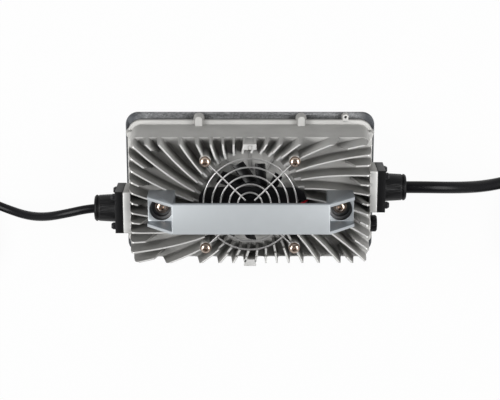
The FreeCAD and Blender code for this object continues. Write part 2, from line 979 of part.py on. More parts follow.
def fan_stator():
    tube_radius = bearing_radius + hub_wall
    bottom = hub_bottom + hub_floor + hub_gap
    top = bottom + stator_height
    core = pipe(stator_radius(), tube_radius, bottom, top)
    slots = []
    for index in range(stator_slots):
        middle = (stator_radius() * stator_slot_place, 0.0)
        slot = cylinder(stator_radius() * stator_slot_size, bottom - overrun, top + overrun, middle)
        slots.append(placed(slot, 0.0, 0.0, 0.0, index * 360 / stator_slots))
    return core.cut(slots)


def fan_magnet():
    bottom = hub_bottom + hub_floor
    return pipe(magnet_outer(), magnet_outer() - magnet_thickness, bottom, bottom + magnet_height)


def fan_blade():
    # Swept paddle, pitched and slightly cupped, drawn along +X and cut square at its tip
    half = blade_width / 2
    rise = blade_rise / 2
    middle = hub_bottom + hub_height / 2
    sag = blade_cup
    pitch = math.atan2(rise, half)
    across = Vector(0, -math.sin(pitch), math.cos(pitch))
    low = Vector(0, -half, -rise)
    high = Vector(0, half, rise)
    cup = across * sag
    thick = Vector(0, -math.sin(pitch) * blade_thickness, math.cos(pitch) * blade_thickness)
    section = Part.Wire([
        Part.Arc(low, cup, high).toShape(),
        Part.makeLine(high, high + thick),
        Part.Arc(high + thick, cup + thick, low + thick).toShape(),
        Part.makeLine(low + thick, low),
    ])
    sweep = math.radians(blade_sweep)
    tip_across = impeller_radius * math.sin(sweep)
    tip_along = math.sqrt(impeller_radius ** 2 - (tip_across + half) ** 2)
    blade = Part.Face(section).extrude(Vector(tip_along, 0, 0))
    blade.Placement = Placement(Vector(0, -tip_across, middle), Rotation())
    return blade


def fan_impeller():
    hub = cylinder(hub_radius, hub_bottom, hub_top)
    blades = []
    core = cylinder(hub_radius - hub_wall * 0.7, hub_bottom - hub_height, hub_top + hub_height)
    for index in range(blade_count):
        turn = blade_start_angle + blade_sweep + index * 360 / blade_count
        blades.append(placed(fan_blade(), 0.0, 0.0, 0.0, turn).cut(core))
    wheel = hub.fuse(blades)
    hollow = cylinder(magnet_outer(), hub_bottom + hub_floor, hub_top + overrun)
    shaft_hole = cylinder(shaft_radius, hub_bottom + embed, hub_top)
    return wheel.cut([hollow, shaft_hole])


# Wires of the fan

def fan_wire(offset):
    # Along the channel in the bar, aside past its end and down through the deck
    line = wire_line + offset
    ahead = Vector(math.cos(wire_heading), math.sin(wire_heading), 0)
    left = Vector(-ahead.y, ahead.x, 0)
    down = Vector(0, 0, -1)
    start = Vector(wire_channel_start + seat_clearance, line, wire_level)
    turn_centre = Vector(wire_turn_start, wire_line + wire_turn_radius, wire_level)
    radius = wire_turn_radius - offset
    half = wire_heading / 2
    turn_start = turn_centre + Vector(0, -radius, 0)
    turn_middle = turn_centre + Vector(math.sin(half), -math.cos(half), 0) * radius
    turn_end = turn_centre - left * radius
    drop_centre = turn_end + down * wire_drop_radius
    drop_middle = drop_centre + (ahead - down) * (wire_drop_radius * math.sqrt(0.5))
    drop_end = drop_centre + ahead * wire_drop_radius
    end = Vector(drop_end.x, drop_end.y, ceiling - wire_inner_length)
    path = Part.Wire([
        Part.makeLine(start, turn_start),
        Part.Arc(turn_start, turn_middle, turn_end).toShape(),
        Part.Arc(turn_end, drop_middle, drop_end).toShape(),
        Part.makeLine(drop_end, end),
    ])
    section = Part.Wire(Part.makeCircle(wire_radius, start, Vector(1, 0, 0)))
    return path.makePipeShell([section], True, False)


def wire_grommet():
    # Plug in the deck with a snug hole for each wire
    top = deck_height + grommet_rise
    body = cylinder(grommet_radius, ceiling, top, grommet_place)
    holes = []
    for side in (-1, 1):
        across = side * wire_spacing / 2
        place = (
            grommet_place[0] - across * math.sin(wire_heading),
            grommet_place[1] + across * math.cos(wire_heading),
        )
        holes.append(cylinder(wire_radius, ceiling - overrun, top + overrun, place))
    return body.cut(holes)


# Handle

def handle_head_level():
    return fin_tip + leg_foot_thickness + handle_washer_thickness + spring_washer_thickness


def handle():
    # Side view in X and Z drawn once, given its width along Y
    end = handle_length / 2
    bevel_level = handle_top - bevel_drop
    web_level = fin_tip + leg_web_height
    outline = Part.makePolygon([
        Vector(-end, 0, fin_tip),
        Vector(-leg_inner, 0, fin_tip),
        Vector(-leg_inner, 0, handle_top - grip_thickness),
        Vector(leg_inner, 0, handle_top - grip_thickness),
        Vector(leg_inner, 0, fin_tip),
        Vector(end, 0, fin_tip),
        Vector(end, 0, bevel_level),
        Vector(leg_inner, 0, handle_top),
        Vector(-leg_inner, 0, handle_top),
        Vector(-end, 0, bevel_level),
        Vector(-end, 0, fin_tip),
    ])
    body = Part.Face(outline).extrude(Vector(0, handle_width, 0))
    body.translate(Vector(handle_offset, -handle_width / 2, 0))
    cuts = []
    half_inside = handle_width / 2 - leg_side_wall
    for side in (-1, 1):
        inner = handle_offset + side * (leg_inner + leg_end_wall)
        outer = handle_offset + side * (end + overrun)
        cuts.append(block(
            (min(inner, outer), -half_inside, web_level),
            (max(inner, outer), half_inside, handle_top + overrun),
        ))
    for place in leg_places():
        cuts.append(cylinder(leg_bore_radius, web_level - leg_bore_depth, web_level + overrun, place))
        cuts.append(cylinder(leg_seat_radius, fin_tip + leg_foot_thickness, web_level, place))
        hole = handle_screw_shank_radius + through_clearance
        cuts.append(cylinder(hole, fin_tip - overrun, web_level, place))
    return body.cut(cuts)


def handle_screws():
    screw = pan_screw(
        handle_screw_head_radius,
        handle_screw_head_height,
        handle_screw_shank_radius,
        handle_screw_length,
    )
    return [placed(screw, x, y, handle_head_level(), handle_screw_turn) for x, y in leg_places()]


def handle_washers():
    bottom = fin_tip + leg_foot_thickness
    top = bottom + handle_washer_thickness
    inner = handle_screw_shank_radius + through_clearance
    return [pipe(handle_washer_radius, inner, bottom, top, place) for place in leg_places()]


def spring_washers():
    bottom = fin_tip + leg_foot_thickness + handle_washer_thickness
    top = handle_head_level()
    inner = handle_screw_shank_radius + seat_clearance
    half_split = spring_washer_split / 2
    ring = pipe(spring_washer_radius, inner, bottom, top)
    split_reach = spring_washer_radius + overrun
    split = block((0, -half_split, bottom - overrun), (split_reach, half_split, top + overrun))
    ring = ring.cut(split)
    return [placed(ring, x, y) for x, y in leg_places()]


# Cable glands, drawn for the +X end on the gland's own axis

def flange_block(inner, outer):
    low = (inner, -gland_flange_width / 2, gland_height - gland_flange_height / 2)
    high = (outer, gland_flange_width / 2, gland_height + gland_flange_height / 2)
    plate = block(low, high)
    edges = [edge for edge in plate.Edges if edge.BoundBox.XLength > (outer - inner) / 2]
    return plate.makeFillet(gland_flange_corner, edges)


def along_x(radius, start, end, y=0.0, z=gland_height):
    return Part.makeCylinder(radius, end - start, Vector(start, y, z), Vector(1, 0, 0))


def gland_body():
    plate = flange_block(flange_inner, flange_outer)
    lip_start = gland_end - gland_lip_length
    slope = (gland_barrel_tip_radius - gland_barrel_root_radius) / gland_barrel_length
    lip_radius = gland_barrel_root_radius + slope * (lip_start - flange_outer)
    bevel = gland_lip_rise * 2
    profile = Part.makePolygon([
        Vector(flange_inner, 0, 0),
        Vector(flange_inner, gland_barrel_root_radius, 0),
        Vector(flange_outer, gland_barrel_root_radius, 0),
        Vector(lip_start - bevel / 2, lip_radius, 0),
        Vector(lip_start, lip_radius - gland_lip_rise, 0),
        Vector(lip_start + bevel / 2, lip_radius + gland_lip_rise * 0.4, 0),
        Vector(gland_end - bevel, lip_radius, 0),
        Vector(gland_end, gland_barrel_tip_radius - bevel, 0),
        Vector(gland_end, 0, 0),
        Vector(flange_inner, 0, 0),
    ])
    barrel = Part.Face(profile).revolve(Vector(0, 0, 0), Vector(1, 0, 0), 360)
    barrel.translate(Vector(0, 0, gland_height))
    body = plate.fuse(barrel)
    cuts = [along_x(gland_seal_radius, flange_inner - overrun, gland_end + overrun)]
    for y, z in gland_screw_centres():
        radius = gland_screw_shank_radius + through_clearance
        cuts.append(along_x(radius, flange_inner - overrun, flange_outer + overrun, y, z))
    return body.cut(cuts)


def gland_gasket():
    sheet = flange_block(gland_face, flange_inner)
    cuts = [along_x(gland_seal_radius, gland_face - overrun, flange_inner + overrun)]
    for y, z in gland_screw_centres():
        radius = gland_screw_shank_radius + through_clearance
        cuts.append(along_x(radius, gland_face - overrun, flange_inner + overrun, y, z))
    return sheet.cut(cuts)


def gland_seal(lead_radius):
    end = gland_end - gland_seal_recess
    ring = along_x(gland_seal_radius, flange_inner, end)
    return ring.cut(along_x(lead_radius, flange_inner - overrun, end + overrun))


def gland_screws(side):
    screw = pan_screw(
        gland_screw_head_radius,
        gland_screw_head_height,
        gland_screw_shank_radius,
        gland_screw_length,
    )
    screws = []
    for y, z in gland_screw_centres():
        copy = screw.copy()
        copy.Placement = Placement(Vector(flange_outer, y, z), Rotation(Vector(0, 1, 0), 90))
        screws.append(turned_to_side(copy, side))
    return screws


# Breather vent

def breather_vent():
    face = vent_wall + vent_thickness
    cap = along_x(vent_radius, vent_wall, face, vent_place, vent_height)
    rim_edges = [edge for edge in cap.Edges if edge.Closed and edge.BoundBox.XMin > face - embed]
    cap = cap.makeChamfer(vent_notch_radius, rim_edges)
    shank_end = vent_wall - vent_shank_length
    shank = along_x(vent_shank_radius, shank_end, vent_wall + embed, vent_place, vent_height)
    notches = []
    for index in range(vent_notch_count):
        angle = 2 * math.pi * index / vent_notch_count
        y = vent_place + vent_radius * math.cos(angle)
        z = vent_height + vent_radius * math.sin(angle)
        notch_start = face - vent_notch_length
        notches.append(along_x(vent_notch_radius, notch_start, face + overrun, y, z))
    return cap.fuse(shank).cut(notches)


def breather_nut():
    outer = vent_inner_wall
    inner = outer - vent_nut_thickness
    corners = []
    for index in range(7):
        angle = math.radians(60 * index)
        y = vent_place + vent_nut_radius * math.cos(angle)
        z = vent_height + vent_nut_radius * math.sin(angle)
        corners.append(Vector(inner, y, z))
    nut = Part.Face(Part.makePolygon(corners)).extrude(Vector(vent_nut_thickness, 0, 0))
    return nut.cut(along_x(vent_shank_radius, inner - overrun, outer + overrun, vent_place, vent_height))


# Inside

def standoff_places():
    places = corner_places(standoff_pitch_long, standoff_pitch_wide)
    places += [(0.0, side * standoff_pitch_wide / 2) for side in (-1, 1)]
    return places


def main_board():
    board = rounded_block(board_length, board_width, board_corner_radius, board_underside, board_top)
    radius = board_screw_shank_radius + through_clearance
    low = board_underside - overrun
    high = board_top + overrun
    holes = [cylinder(radius, low, high, place) for place in standoff_places()]
    return board.cut(holes)


def board_standoffs():
    pillars = []
    for place in standoff_places():
        inner = board_screw_shank_radius + thread_clearance
        pillars.append(pipe(standoff_radius, inner, plate_thickness, board_underside, place))
    return pillars


def board_screws():
    screw = pan_screw(
        board_screw_head_radius,
        board_screw_head_height,
        board_screw_shank_radius,
        board_screw_length,
    )
    return [placed(screw, place[0], place[1], board_top) for place in standoff_places()]


def transformer_core():
    x, y = transformer_place
    half = transformer_length / 2
    depth = transformer_depth / 2
    core = block((x - half, y - depth, board_top), (x + half, y + depth, board_top + transformer_height))
    window = (transformer_length - 4 * transformer_leg) / 2
    windows = []
    for side in (-1, 1):
        near = side * transformer_leg
        far = side * (transformer_leg + window)
        windows.append(block(
            (x + min(near, far), y - depth - overrun, board_top + transformer_leg),
            (x + max(near, far), y + depth + overrun, board_top + transformer_height - transformer_leg),
        ))
    return core.cut(windows)


def transformer_winding():
    x, y = transformer_place
    gap = transformer_winding_gap
    window = (transformer_length - 4 * transformer_leg) / 2
    bottom = board_top + transformer_leg + gap
    top = board_top + transformer_height - transformer_leg - gap
    inner_x = transformer_leg + gap
    inner_y = transformer_depth / 2 + gap
    wall = min(transformer_winding_wall, window - 2 * gap)
    corner = wall * transformer_winding_round
    outer = rounded_block(2 * (inner_x + wall), 2 * (inner_y + wall), corner, bottom, top, (x, y))
    inner = block((x - inner_x, y - inner_y, bottom - overrun), (x + inner_x, y + inner_y, top + overrun))
    return outer.cut(inner)


def bulk_capacitors():
    cans = []
    for place in capacitor_places:
        can = cylinder(capacitor_radius, board_top, board_top + capacitor_height, place)
        level = board_top + capacitor_groove_height
        neck = capacitor_radius - capacitor_groove
        groove = pipe(capacitor_radius + overrun, neck, level, level + 2 * capacitor_groove, place)
        cans.append(can.cut(groove))
    return cans


def choke(place):
    top = board_top + choke_height
    ring = pipe(choke_outer_radius, choke_inner_radius, board_top, top)
    grooves = []
    for index in range(choke_turns):
        groove = cylinder(choke_groove_radius, board_top - overrun, top + overrun, (choke_outer_radius, 0.0))
        grooves.append(placed(groove, 0.0, 0.0, 0.0, index * 360 / choke_turns))
    return placed(ring.cut(grooves), place[0], place[1])


def relay():
    top = board_top + relay_height
    return rounded_block(relay_length, relay_width, relay_corner, board_top, top, relay_place)


def fuse():
    x, y = fuse_place
    level = board_top + fuse_radius + fuse_cap_rise
    left = x - fuse_length / 2
    right = x + fuse_length / 2
    tube = along_x(fuse_radius, left, right, y, level)
    caps = []
    for start in (left, right - fuse_cap_length):
        caps.append(along_x(fuse_radius + fuse_cap_rise, start, start + fuse_cap_length, y, level))
    return tube.fuse(caps)


def control_board():
    x, y = control_board_place
    return block(
        (x - control_board_length / 2, y - board_thickness / 2, board_top),
        (x + control_board_length / 2, y + board_thickness / 2, board_top + control_board_height),
    )


def output_terminals():
    body = rounded_block(
        terminal_length,
        terminal_width,
        1.0,
        board_top,
        board_top + terminal_height,
        terminal_place,
    )
    holes = []
    for side in (-1, 1):
        spot = (terminal_place[0], terminal_place[1] + side * terminal_width / 4)
        top = board_top + terminal_height
        holes.append(cylinder(terminal_hole_radius, top - terminal_hole_depth, top + overrun, spot))
    return body.cut(holes)


def heat_spreader():
    return block(
        (-spreader_length / 2, spreader_place - spreader_thickness, ceiling - spreader_height),
        (spreader_length / 2, spreader_place, ceiling),
    )


def device_centres():
    return [(index - (device_count - 1) / 2) * device_pitch for index in range(device_count)]


def power_devices():
    # Flat-backed devices on the spreader's face, legs down to the board
    bottom = ceiling - embed - device_height
    devices = []
    for x in device_centres():
        body = block(
            (x - device_width / 2, spreader_place, bottom),
            (x + device_width / 2, spreader_place + device_thickness, bottom + device_height),
        )
        legs = []
        middle = spreader_place + device_thickness / 2
        for index in (-1, 0, 1):
            centre = x + index * device_leg_pitch
            legs.append(block(
                (centre - device_leg_width / 2, middle - device_leg_thickness / 2, board_top),
                (centre + device_leg_width / 2, middle + device_leg_thickness / 2, bottom + embed),
            ))
        devices.append(body.fuse(legs))
    return devices


def device_clamp():
    top = ceiling - clamp_drop
    face = spreader_place + device_thickness
    return block(
        (-spreader_length / 2, face, top - clamp_height),
        (spreader_length / 2, face + clamp_thickness, top),
    )


# Leads

def lead_path(points, start):
    # Straight runs joined by tangent arcs, each as large as its two runs allow
    vectors = [Vector(*point) for point in points]
    edges = []
    radii = []
    here = start
    for index in range(1, len(vectors) - 1):
        corner = vectors[index]
        back = vectors[index - 1] - corner
        ahead = vectors[index + 1] - corner
        cut = lead_bend_share * min(back.Length, ahead.Length)
        back.normalize()
        ahead.normalize()
        half_turn = (math.pi - back.getAngle(ahead)) / 2
        radius = cut / math.tan(half_turn)
        radii.append(radius)
        start = corner + back * cut
        end = corner + ahead * cut
        inward = back + ahead
        inward.normalize()
        centre = corner + inward * (radius / math.cos(half_turn))
        middle = centre - inward * radius
        edges.append(Part.makeLine(here, start))
        edges.append(Part.Arc(start, middle, end).toShape())
        here = end
    edges.append(Part.makeLine(here, vectors[-1]))
    return Part.Wire(edges), radii


def lead_tube(name, points, radius, from_case=False):
    # A lead from the case starts at the gland's foot, further in than its first point
    start = Vector(*points[0])
    if from_case:
        start.x = math.copysign(gland_face, start.x)
    path, radii = lead_path(points, start)
    heading = Vector(*points[1]) - Vector(*points[0])
    section = Part.Wire(Part.makeCircle(radius, start, heading))
    solid = path.makePipeShell([section], True, False)
    expected = math.pi * radius ** 2 * path.Length
    print(name, "length", round(path.Length, 1), "smallest bend", round(min(radii), 1),
          "volume over section times length", round(solid.Volume / expected, 4))
    return solid


def lead_coil(name, centre, mean_radius, radius, lanes, layers):
    # Outer shape of turns laid side by side in lanes and some layers high
    inner = mean_radius - lanes * radius
    outer = mean_radius + lanes * radius
    height = 2 * radius * layers
    bevel = radius * coil_bevel
    solid = turned_profile([
        (inner + bevel, 0),
        (outer - bevel, 0),
        (outer, bevel),
        (outer, height - bevel),
        (outer - bevel, height),
        (inner + bevel, height),
        (inner, height - bevel),
        (inner, bevel),
    ])
    turns = lanes * layers
    print(name, "coil of", turns, "turns, length", round(turns * 2 * math.pi * mean_radius, 1))
    return placed(solid, centre[0], centre[1])


def outside_of(lead, coil):
    # The lead up to the coil that it runs into
    return max(lead.cut(coil).Solids, key=lambda solid: solid.Volume)


def at_lead_end(shape, route, turn):
    # Drawn with the lead's end at the origin and the rest along -Y, then put on the lead
    return placed(shape, route[-1][0], route[-1][1], 0.0, turn)


def plug_centre():
    return -plug_relief_length - plug_radius + plug_edge


def ac_plug():
    # Round body lying on its back, pins up, cord relief leaving at the side
    y = plug_centre()
    body = turned_profile([
        (0, 0),
        (plug_radius - plug_edge, 0),
        (plug_radius, plug_edge),
        (plug_radius, plug_height - plug_edge),
        (plug_radius - plug_edge, plug_height),
        (0, plug_height),
    ])
    body = placed(body, 0.0, y)
    relief = Part.makeCone(
        plug_relief_tip_radius,
        plug_relief_root_radius,
        -y,
        Vector(0, 0, plug_relief_height),
        Vector(0, -1, 0),
    )
    body = body.fuse(relief)
    cuts = []
    for side in (-1, 1):
        inner = side * (plug_radius - plug_earth_depth)
        outer = side * (plug_radius + overrun)
        cuts.append(block(
            (min(inner, outer), y - plug_earth_width / 2, plug_height - plug_earth_drop),
            (max(inner, outer), y + plug_earth_width / 2, plug_height + overrun),
        ))
    return at_lead_end(body.cut(cuts), ac_tail_route, ac_plug_turn)


def ac_plug_pins():
    y = plug_centre()
    pins = []
    for side in (-1, 1):
        tip = plug_height + plug_pin_length
        pin = turned_profile([
            (0, plug_height),
            (plug_pin_radius, plug_height),
            (plug_pin_radius, tip - plug_pin_radius),
            (plug_pin_radius / 2, tip),
            (0, tip),
        ])
        pin = placed(pin, 0.0, y + side * plug_pin_pitch / 2)
        pins.append(at_lead_end(pin, ac_tail_route, ac_plug_turn))
    return pins


def ac_plug_earth():
    y = plug_centre()
    strips = []
    for side in (-1, 1):
        inner = side * (plug_radius - plug_earth_depth)
        outer = inner + side * plug_earth_thickness
        strip = block(
            (min(inner, outer), y - plug_earth_width / 2, plug_height - plug_earth_drop),
            (max(inner, outer), y + plug_earth_width / 2, plug_height - plug_edge),
        )
        strips.append(at_lead_end(strip, ac_tail_route, ac_plug_turn))
    return strips


def dc_connector():
    # Rectangular two-pole housing lying flat, open mouth at its free end
    half_width = connector_width / 2
    half_mouth = connector_mouth_width / 2
    front = -connector_length
    body = block((-half_width, front, 0.0), (half_width, 0.0, connector_height))
    long_edges = [edge for edge in body.Edges if edge.BoundBox.YLength > connector_length / 2]
    body = body.makeFillet(connector_corner, long_edges)
    middle = connector_height / 2
    mouth = block(
        (-half_mouth, front - overrun, middle - connector_mouth_height / 2),
        (half_mouth, front + connector_mouth_depth, middle + connector_mouth_height / 2),
    )
    grooves = []
    for step in range(connector_groove_count):
        start = -connector_groove_start - connector_groove_pitch * step
        for side in (-1, 1):
            inner = side * (half_width - overrun)
            outer = side * (half_width + overrun)
            grooves.append(block(
                (min(inner, outer), start - overrun, -overrun),
                (max(inner, outer), start + overrun, connector_height + overrun),
            ))
    return at_lead_end(body.cut([mouth] + grooves), dc_tail_route, dc_connector_turn)


def dc_contacts():
    front = -connector_length
    floor = connector_height / 2 - connector_mouth_height / 2
    contacts = []
    for side in (-1, 1):
        centre = side * contact_pitch / 2
        contact = block(
            (centre - contact_width / 2, front + overrun, floor),
            (centre + contact_width / 2, front + connector_mouth_depth, floor + contact_thickness),
        )
        contacts.append(at_lead_end(contact, dc_tail_route, dc_connector_turn))
    return contacts


os.makedirs("parts", exist_ok=True)
export("housing", [housing()])
export("base_plate", [base_plate()])
export("base_gasket", [base_gasket()])
export("base_screws", base_screws())
export("fan_guard", [fan_guard()])
export("guard_screws", guard_screws())
export("guard_washers", guard_washers())
export("fan_bar", [fan_bar()])
export("fan_bar_screws", fan_bar_screws())
export("fan_bearing", [fan_bearing()])
export("fan_stator", [fan_stator()])
export("fan_shaft", [fan_shaft()])
export("fan_magnet", [fan_magnet()])
export("fan_impeller", [fan_impeller()])
export("fan_wire_red", [fan_wire(wire_spacing / 2)])
export("fan_wire_black", [fan_wire(-wire_spacing / 2)])
export("wire_grommet", [wire_grommet()])
export("handle", [handle()])
export("handle_screws", handle_screws())
export("handle_washers", handle_washers())
export("handle_spring_washers", spring_washers())
for end_name, end_side, lead in (("ac", -1, ac_radius), ("dc", 1, dc_radius)):
    export(end_name + "_gland_body", [turned_to_side(gland_body(), end_side)])
    export(end_name + "_gland_gasket", [turned_to_side(gland_gasket(), end_side)])
    export(end_name + "_gland_seal", [turned_to_side(gland_seal(lead), end_side)])
    export(end_name + "_gland_screws", gland_screws(end_side))
export("breather_vent", [breather_vent()])
export("breather_nut", [breather_nut()])
export("main_board", [main_board()])
export("board_standoffs", board_standoffs())
export("board_screws", board_screws())
export("transformer_core", [transformer_core()])
export("transformer_winding", [transformer_winding()])
export("bulk_capacitors", bulk_capacitors())
export("input_choke", [choke(input_choke_place)])
export("output_choke", [choke(output_choke_place)])
export("relay", [relay()])
export("fuse", [fuse()])
export("control_board", [control_board()])
export("output_terminals", [output_terminals()])
export("heat_spreader", [heat_spreader()])
export("power_devices", power_devices())
export("device_clamp", [device_clamp()])
ac_coil = lead_coil("ac_cord", ac_coil_centre, ac_coil_radius, ac_radius, ac_coil_lanes, ac_coil_layers)
dc_coil = lead_coil("dc_cord", dc_coil_centre, dc_coil_radius, dc_radius, dc_coil_lanes, dc_coil_layers)
export("ac_cord_coil", [ac_coil])
export("dc_cord_coil", [dc_coil])
export("ac_cord", [outside_of(lead_tube("ac_cord", ac_route, ac_radius, True), ac_coil)])
export("dc_cord", [outside_of(lead_tube("dc_cord", dc_route, dc_radius, True), dc_coil)])
export("ac_cord_tail", [outside_of(lead_tube("ac_cord_tail", ac_tail_route, ac_radius), ac_coil)])
export("dc_cord_tail", [outside_of(lead_tube("dc_cord_tail", dc_tail_route, dc_radius), dc_coil)])
export("ac_plug", [ac_plug()])
export("ac_plug_pins", ac_plug_pins())
export("ac_plug_earth", ac_plug_earth())
export("dc_connector", [dc_connector()])
export("dc_contacts", dc_contacts())
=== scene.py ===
import json
import math
from functools import partialmethod
import bmesh
import bpy
from mathutils import Matrix, Vector


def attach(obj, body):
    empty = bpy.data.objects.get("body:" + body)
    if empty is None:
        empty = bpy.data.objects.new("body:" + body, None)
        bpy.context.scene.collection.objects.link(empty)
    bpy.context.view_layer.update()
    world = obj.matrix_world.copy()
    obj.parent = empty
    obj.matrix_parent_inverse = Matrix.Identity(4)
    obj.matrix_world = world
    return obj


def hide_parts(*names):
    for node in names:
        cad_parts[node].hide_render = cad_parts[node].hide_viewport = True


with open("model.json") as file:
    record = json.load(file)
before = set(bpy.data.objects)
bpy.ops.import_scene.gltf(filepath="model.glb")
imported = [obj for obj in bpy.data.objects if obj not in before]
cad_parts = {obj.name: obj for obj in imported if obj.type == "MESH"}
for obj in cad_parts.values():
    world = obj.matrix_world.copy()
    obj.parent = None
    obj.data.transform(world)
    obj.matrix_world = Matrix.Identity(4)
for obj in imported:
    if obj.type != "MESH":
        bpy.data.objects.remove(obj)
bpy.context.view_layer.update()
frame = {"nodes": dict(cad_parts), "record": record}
scene = bpy.context.scene
mm = 0.001
print("frame loaded")


# Node trees

class Flow:
    # one output of a node, so that node maths reads as plain sums
    def __init__(self, graph, socket):
        self.graph = graph
        self.socket = socket

    def calc(self, operation, *others):
        return self.graph.calc(operation, self, *others)

    __add__ = __radd__ = partialmethod(calc, "ADD")
    __sub__ = partialmethod(calc, "SUBTRACT")
    __mul__ = __rmul__ = partialmethod(calc, "MULTIPLY")
    __truediv__ = partialmethod(calc, "DIVIDE")
    high = partialmethod(calc, "MAXIMUM")
    over = partialmethod(calc, "GREATER_THAN")
    size = partialmethod(calc, "ABSOLUTE")
    sine = partialmethod(calc, "SINE")
    cosine = partialmethod(calc, "COSINE")

    def __rsub__(self, other):
        return self.graph.calc("SUBTRACT", other, self)

    def __rtruediv__(self, other):
        return self.graph.calc("DIVIDE", other, self)

    def root(self):
        return self.high(0.0).calc("SQRT")

    def log(self):
        return self.calc("LOGARITHM", math.e)

    def spread(self, low, high, newLow=0.0, newHigh=1.0):
        sockets = {"Value": self, "From Min": low, "From Max": high, "To Min": newLow, "To Max": newHigh}
        return self.graph.flow("ShaderNodeMapRange", {"clamp": True}, sockets)

    def parts(self):
        # x, y and z of a vector
        node = self.graph.node("ShaderNodeSeparateXYZ", None, {0: self})
        return [Flow(self.graph, output) for output in node.outputs]


class Graph:
    # makes and links the nodes of one tree
    def __init__(self, tree):
        self.tree = tree

    def node(self, kind, settings=None, sockets=None):
        made = self.tree.nodes.new(kind)
        for name, value in (settings or {}).items():
            setattr(made, name, value)
        for name, value in (sockets or {}).items():
            if isinstance(value, (Flow, list)):
                for flow in value if isinstance(value, list) else [value]:
                    self.tree.links.new(flow.socket, made.inputs[name])
            elif value is not None:
                made.inputs[name].default_value = value
        return made

    def flow(self, kind, settings=None, sockets=None, output=0):
        return Flow(self, self.node(kind, settings, sockets).outputs[output])

    def calc(self, operation, *values):
        return self.flow("ShaderNodeMath", {"operation": operation}, dict(enumerate(values)))

    def join(self, x, y, z):
        return self.flow("ShaderNodeCombineXYZ", None, {0: x, 1: y, 2: z})

    def named(self, name):
        return self.flow("GeometryNodeInputNamedAttribute", {"data_type": "FLOAT"}, {"Name": name})

    def row(self, count):
        # so many points in one spot, told apart by their index
        return self.flow("GeometryNodeMeshLine", None, {"Count": count, "Offset": (0.0, 0.0, 0.0)})

    def copies(self, points, piece, **sockets):
        return self.flow("GeometryNodeInstanceOnPoints", None, {"Points": points, "Instance": piece, **sockets})


# Meshes

def newObject(name, data):
    made = bpy.data.objects.new(name, data)
    scene.collection.objects.link(made)
    return made


def meshObject(name, points, faces):
    # points in millimetres
    mesh = bpy.data.meshes.new(name)
    mesh.from_pydata([Vector(point) * mm for point in points], [], faces)
    return newObject(name, mesh)


def smoothed(piece, angle=32.0):
    piece.data.shade_smooth()
    piece.data.set_sharp_from_angle(angle=math.radians(angle))
    return piece


def turnedOutwards(piece, weld=0.000002):
    shape = bmesh.new()
    shape.from_mesh(piece.data)
    bmesh.ops.remove_doubles(shape, verts=shape.verts, dist=weld)
    bmesh.ops.dissolve_degenerate(shape, dist=weld * 0.1, edges=shape.edges)
    bmesh.ops.recalc_face_normals(shape, faces=shape.faces)
    shape.to_mesh(piece.data)
    shape.free()
    return piece


def joined(name, pieces):
    shape = bmesh.new()
    for piece in pieces:
        shape.from_mesh(piece.data)
        bpy.data.objects.remove(piece)
    mesh = bpy.data.meshes.new(name)
    shape.to_mesh(mesh)
    shape.free()
    return newObject(name, mesh)


def placedAt(piece, place, turn=0.0, axis="Z"):
    # turns and then moves the mesh itself, so that the object stays at the origin
    piece.data.transform(Matrix.Translation(Vector(place) * mm) @ Matrix.Rotation(math.radians(turn), 4, axis))
    return piece


def lofted(name, rings, looped=False):
    # shell through rings of equally many points, its two ends capped or joined to each other
    count, total = len(rings[0]), len(rings)
    points = [point for ring in rings for point in ring]
    faces = []
    for level in range(total if looped else total - 1):
        low, high = level * count, (level + 1) % total * count
        for index in range(count):
            after = (index + 1) % count
            faces.append((low + index, low + after, high + after, high + index))
    if not looped:
        faces += [tuple(reversed(range(count))), tuple(range((total - 1) * count, total * count))]
    return turnedOutwards(meshObject(name, points, faces))


def spun(profile, sides):
    # a profile of (radius, height) pairs at each angle of a full turn about Z
    rings = []
    for index in range(sides):
        angle = 2 * math.pi * index / sides
        rings.append([(radius * math.cos(angle), radius * math.sin(angle), height) for radius, height in profile])
    return rings


def lathed(name, profile, sides=48):
    # open profile turned about Z, its ends on the axis or capped
    return lofted(name, list(zip(*spun(profile, sides))))


def lathedLoop(name, profile, sides=48):
    # closed profile turned about Z, for rings and washers
    return lofted(name, spun(profile, sides), True)


def roundedOutline(halfX, halfY, radius, level, steps=8, centre=(0.0, 0.0)):
    ring = []
    for signX, signY, start in ((1, 1, 0), (-1, 1, 90), (-1, -1, 180), (1, -1, 270)):
        for index in range(steps + 1):
            angle = math.radians(start + 90 * index / steps)
            x = centre[0] + signX * (halfX - radius) + radius * math.cos(angle)
            y = centre[1] + signY * (halfY - radius) + radius * math.sin(angle)
            ring.append((x, y, level))
    return ring


def quarterArc(radius, steps):
    # points of a quarter circle, as their distances from its two tangents
    for index in range(steps + 1):
        angle = math.radians(90 * index / steps)
        yield radius * (1 - math.cos(angle)), radius * (1 - math.sin(angle))


def roundedBlock(name, halfX, halfY, low, high, corner, edge, centre=(0.0, 0.0), steps=6):
    # block with round corners in plan and a small rounding along its two ends
    arc = list(quarterArc(edge, 3))
    heights = [(low + rise, inset) for rise, inset in arc]
    heights += [(high - rise, inset) for rise, inset in reversed(arc)]
    rings = []
    for level, inset in heights:
        radius = max(corner - inset, 0.01)
        rings.append(roundedOutline(halfX - inset, halfY - inset, radius, level, steps, centre))
    return lofted(name, rings)


def cut(piece, tool):
    # exact difference, kept as a plain mesh
    modifier = piece.modifiers.new("cut", "BOOLEAN")
    modifier.object = tool
    modifier.operation = "DIFFERENCE"
    modifier.solver = "EXACT"
    depsgraph = bpy.context.evaluated_depsgraph_get()
    mesh = bpy.data.meshes.new_from_object(piece.evaluated_get(depsgraph))
    made = newObject(piece.name + "Cut", mesh)
    bpy.data.objects.remove(piece)
    bpy.data.objects.remove(tool)
    return made


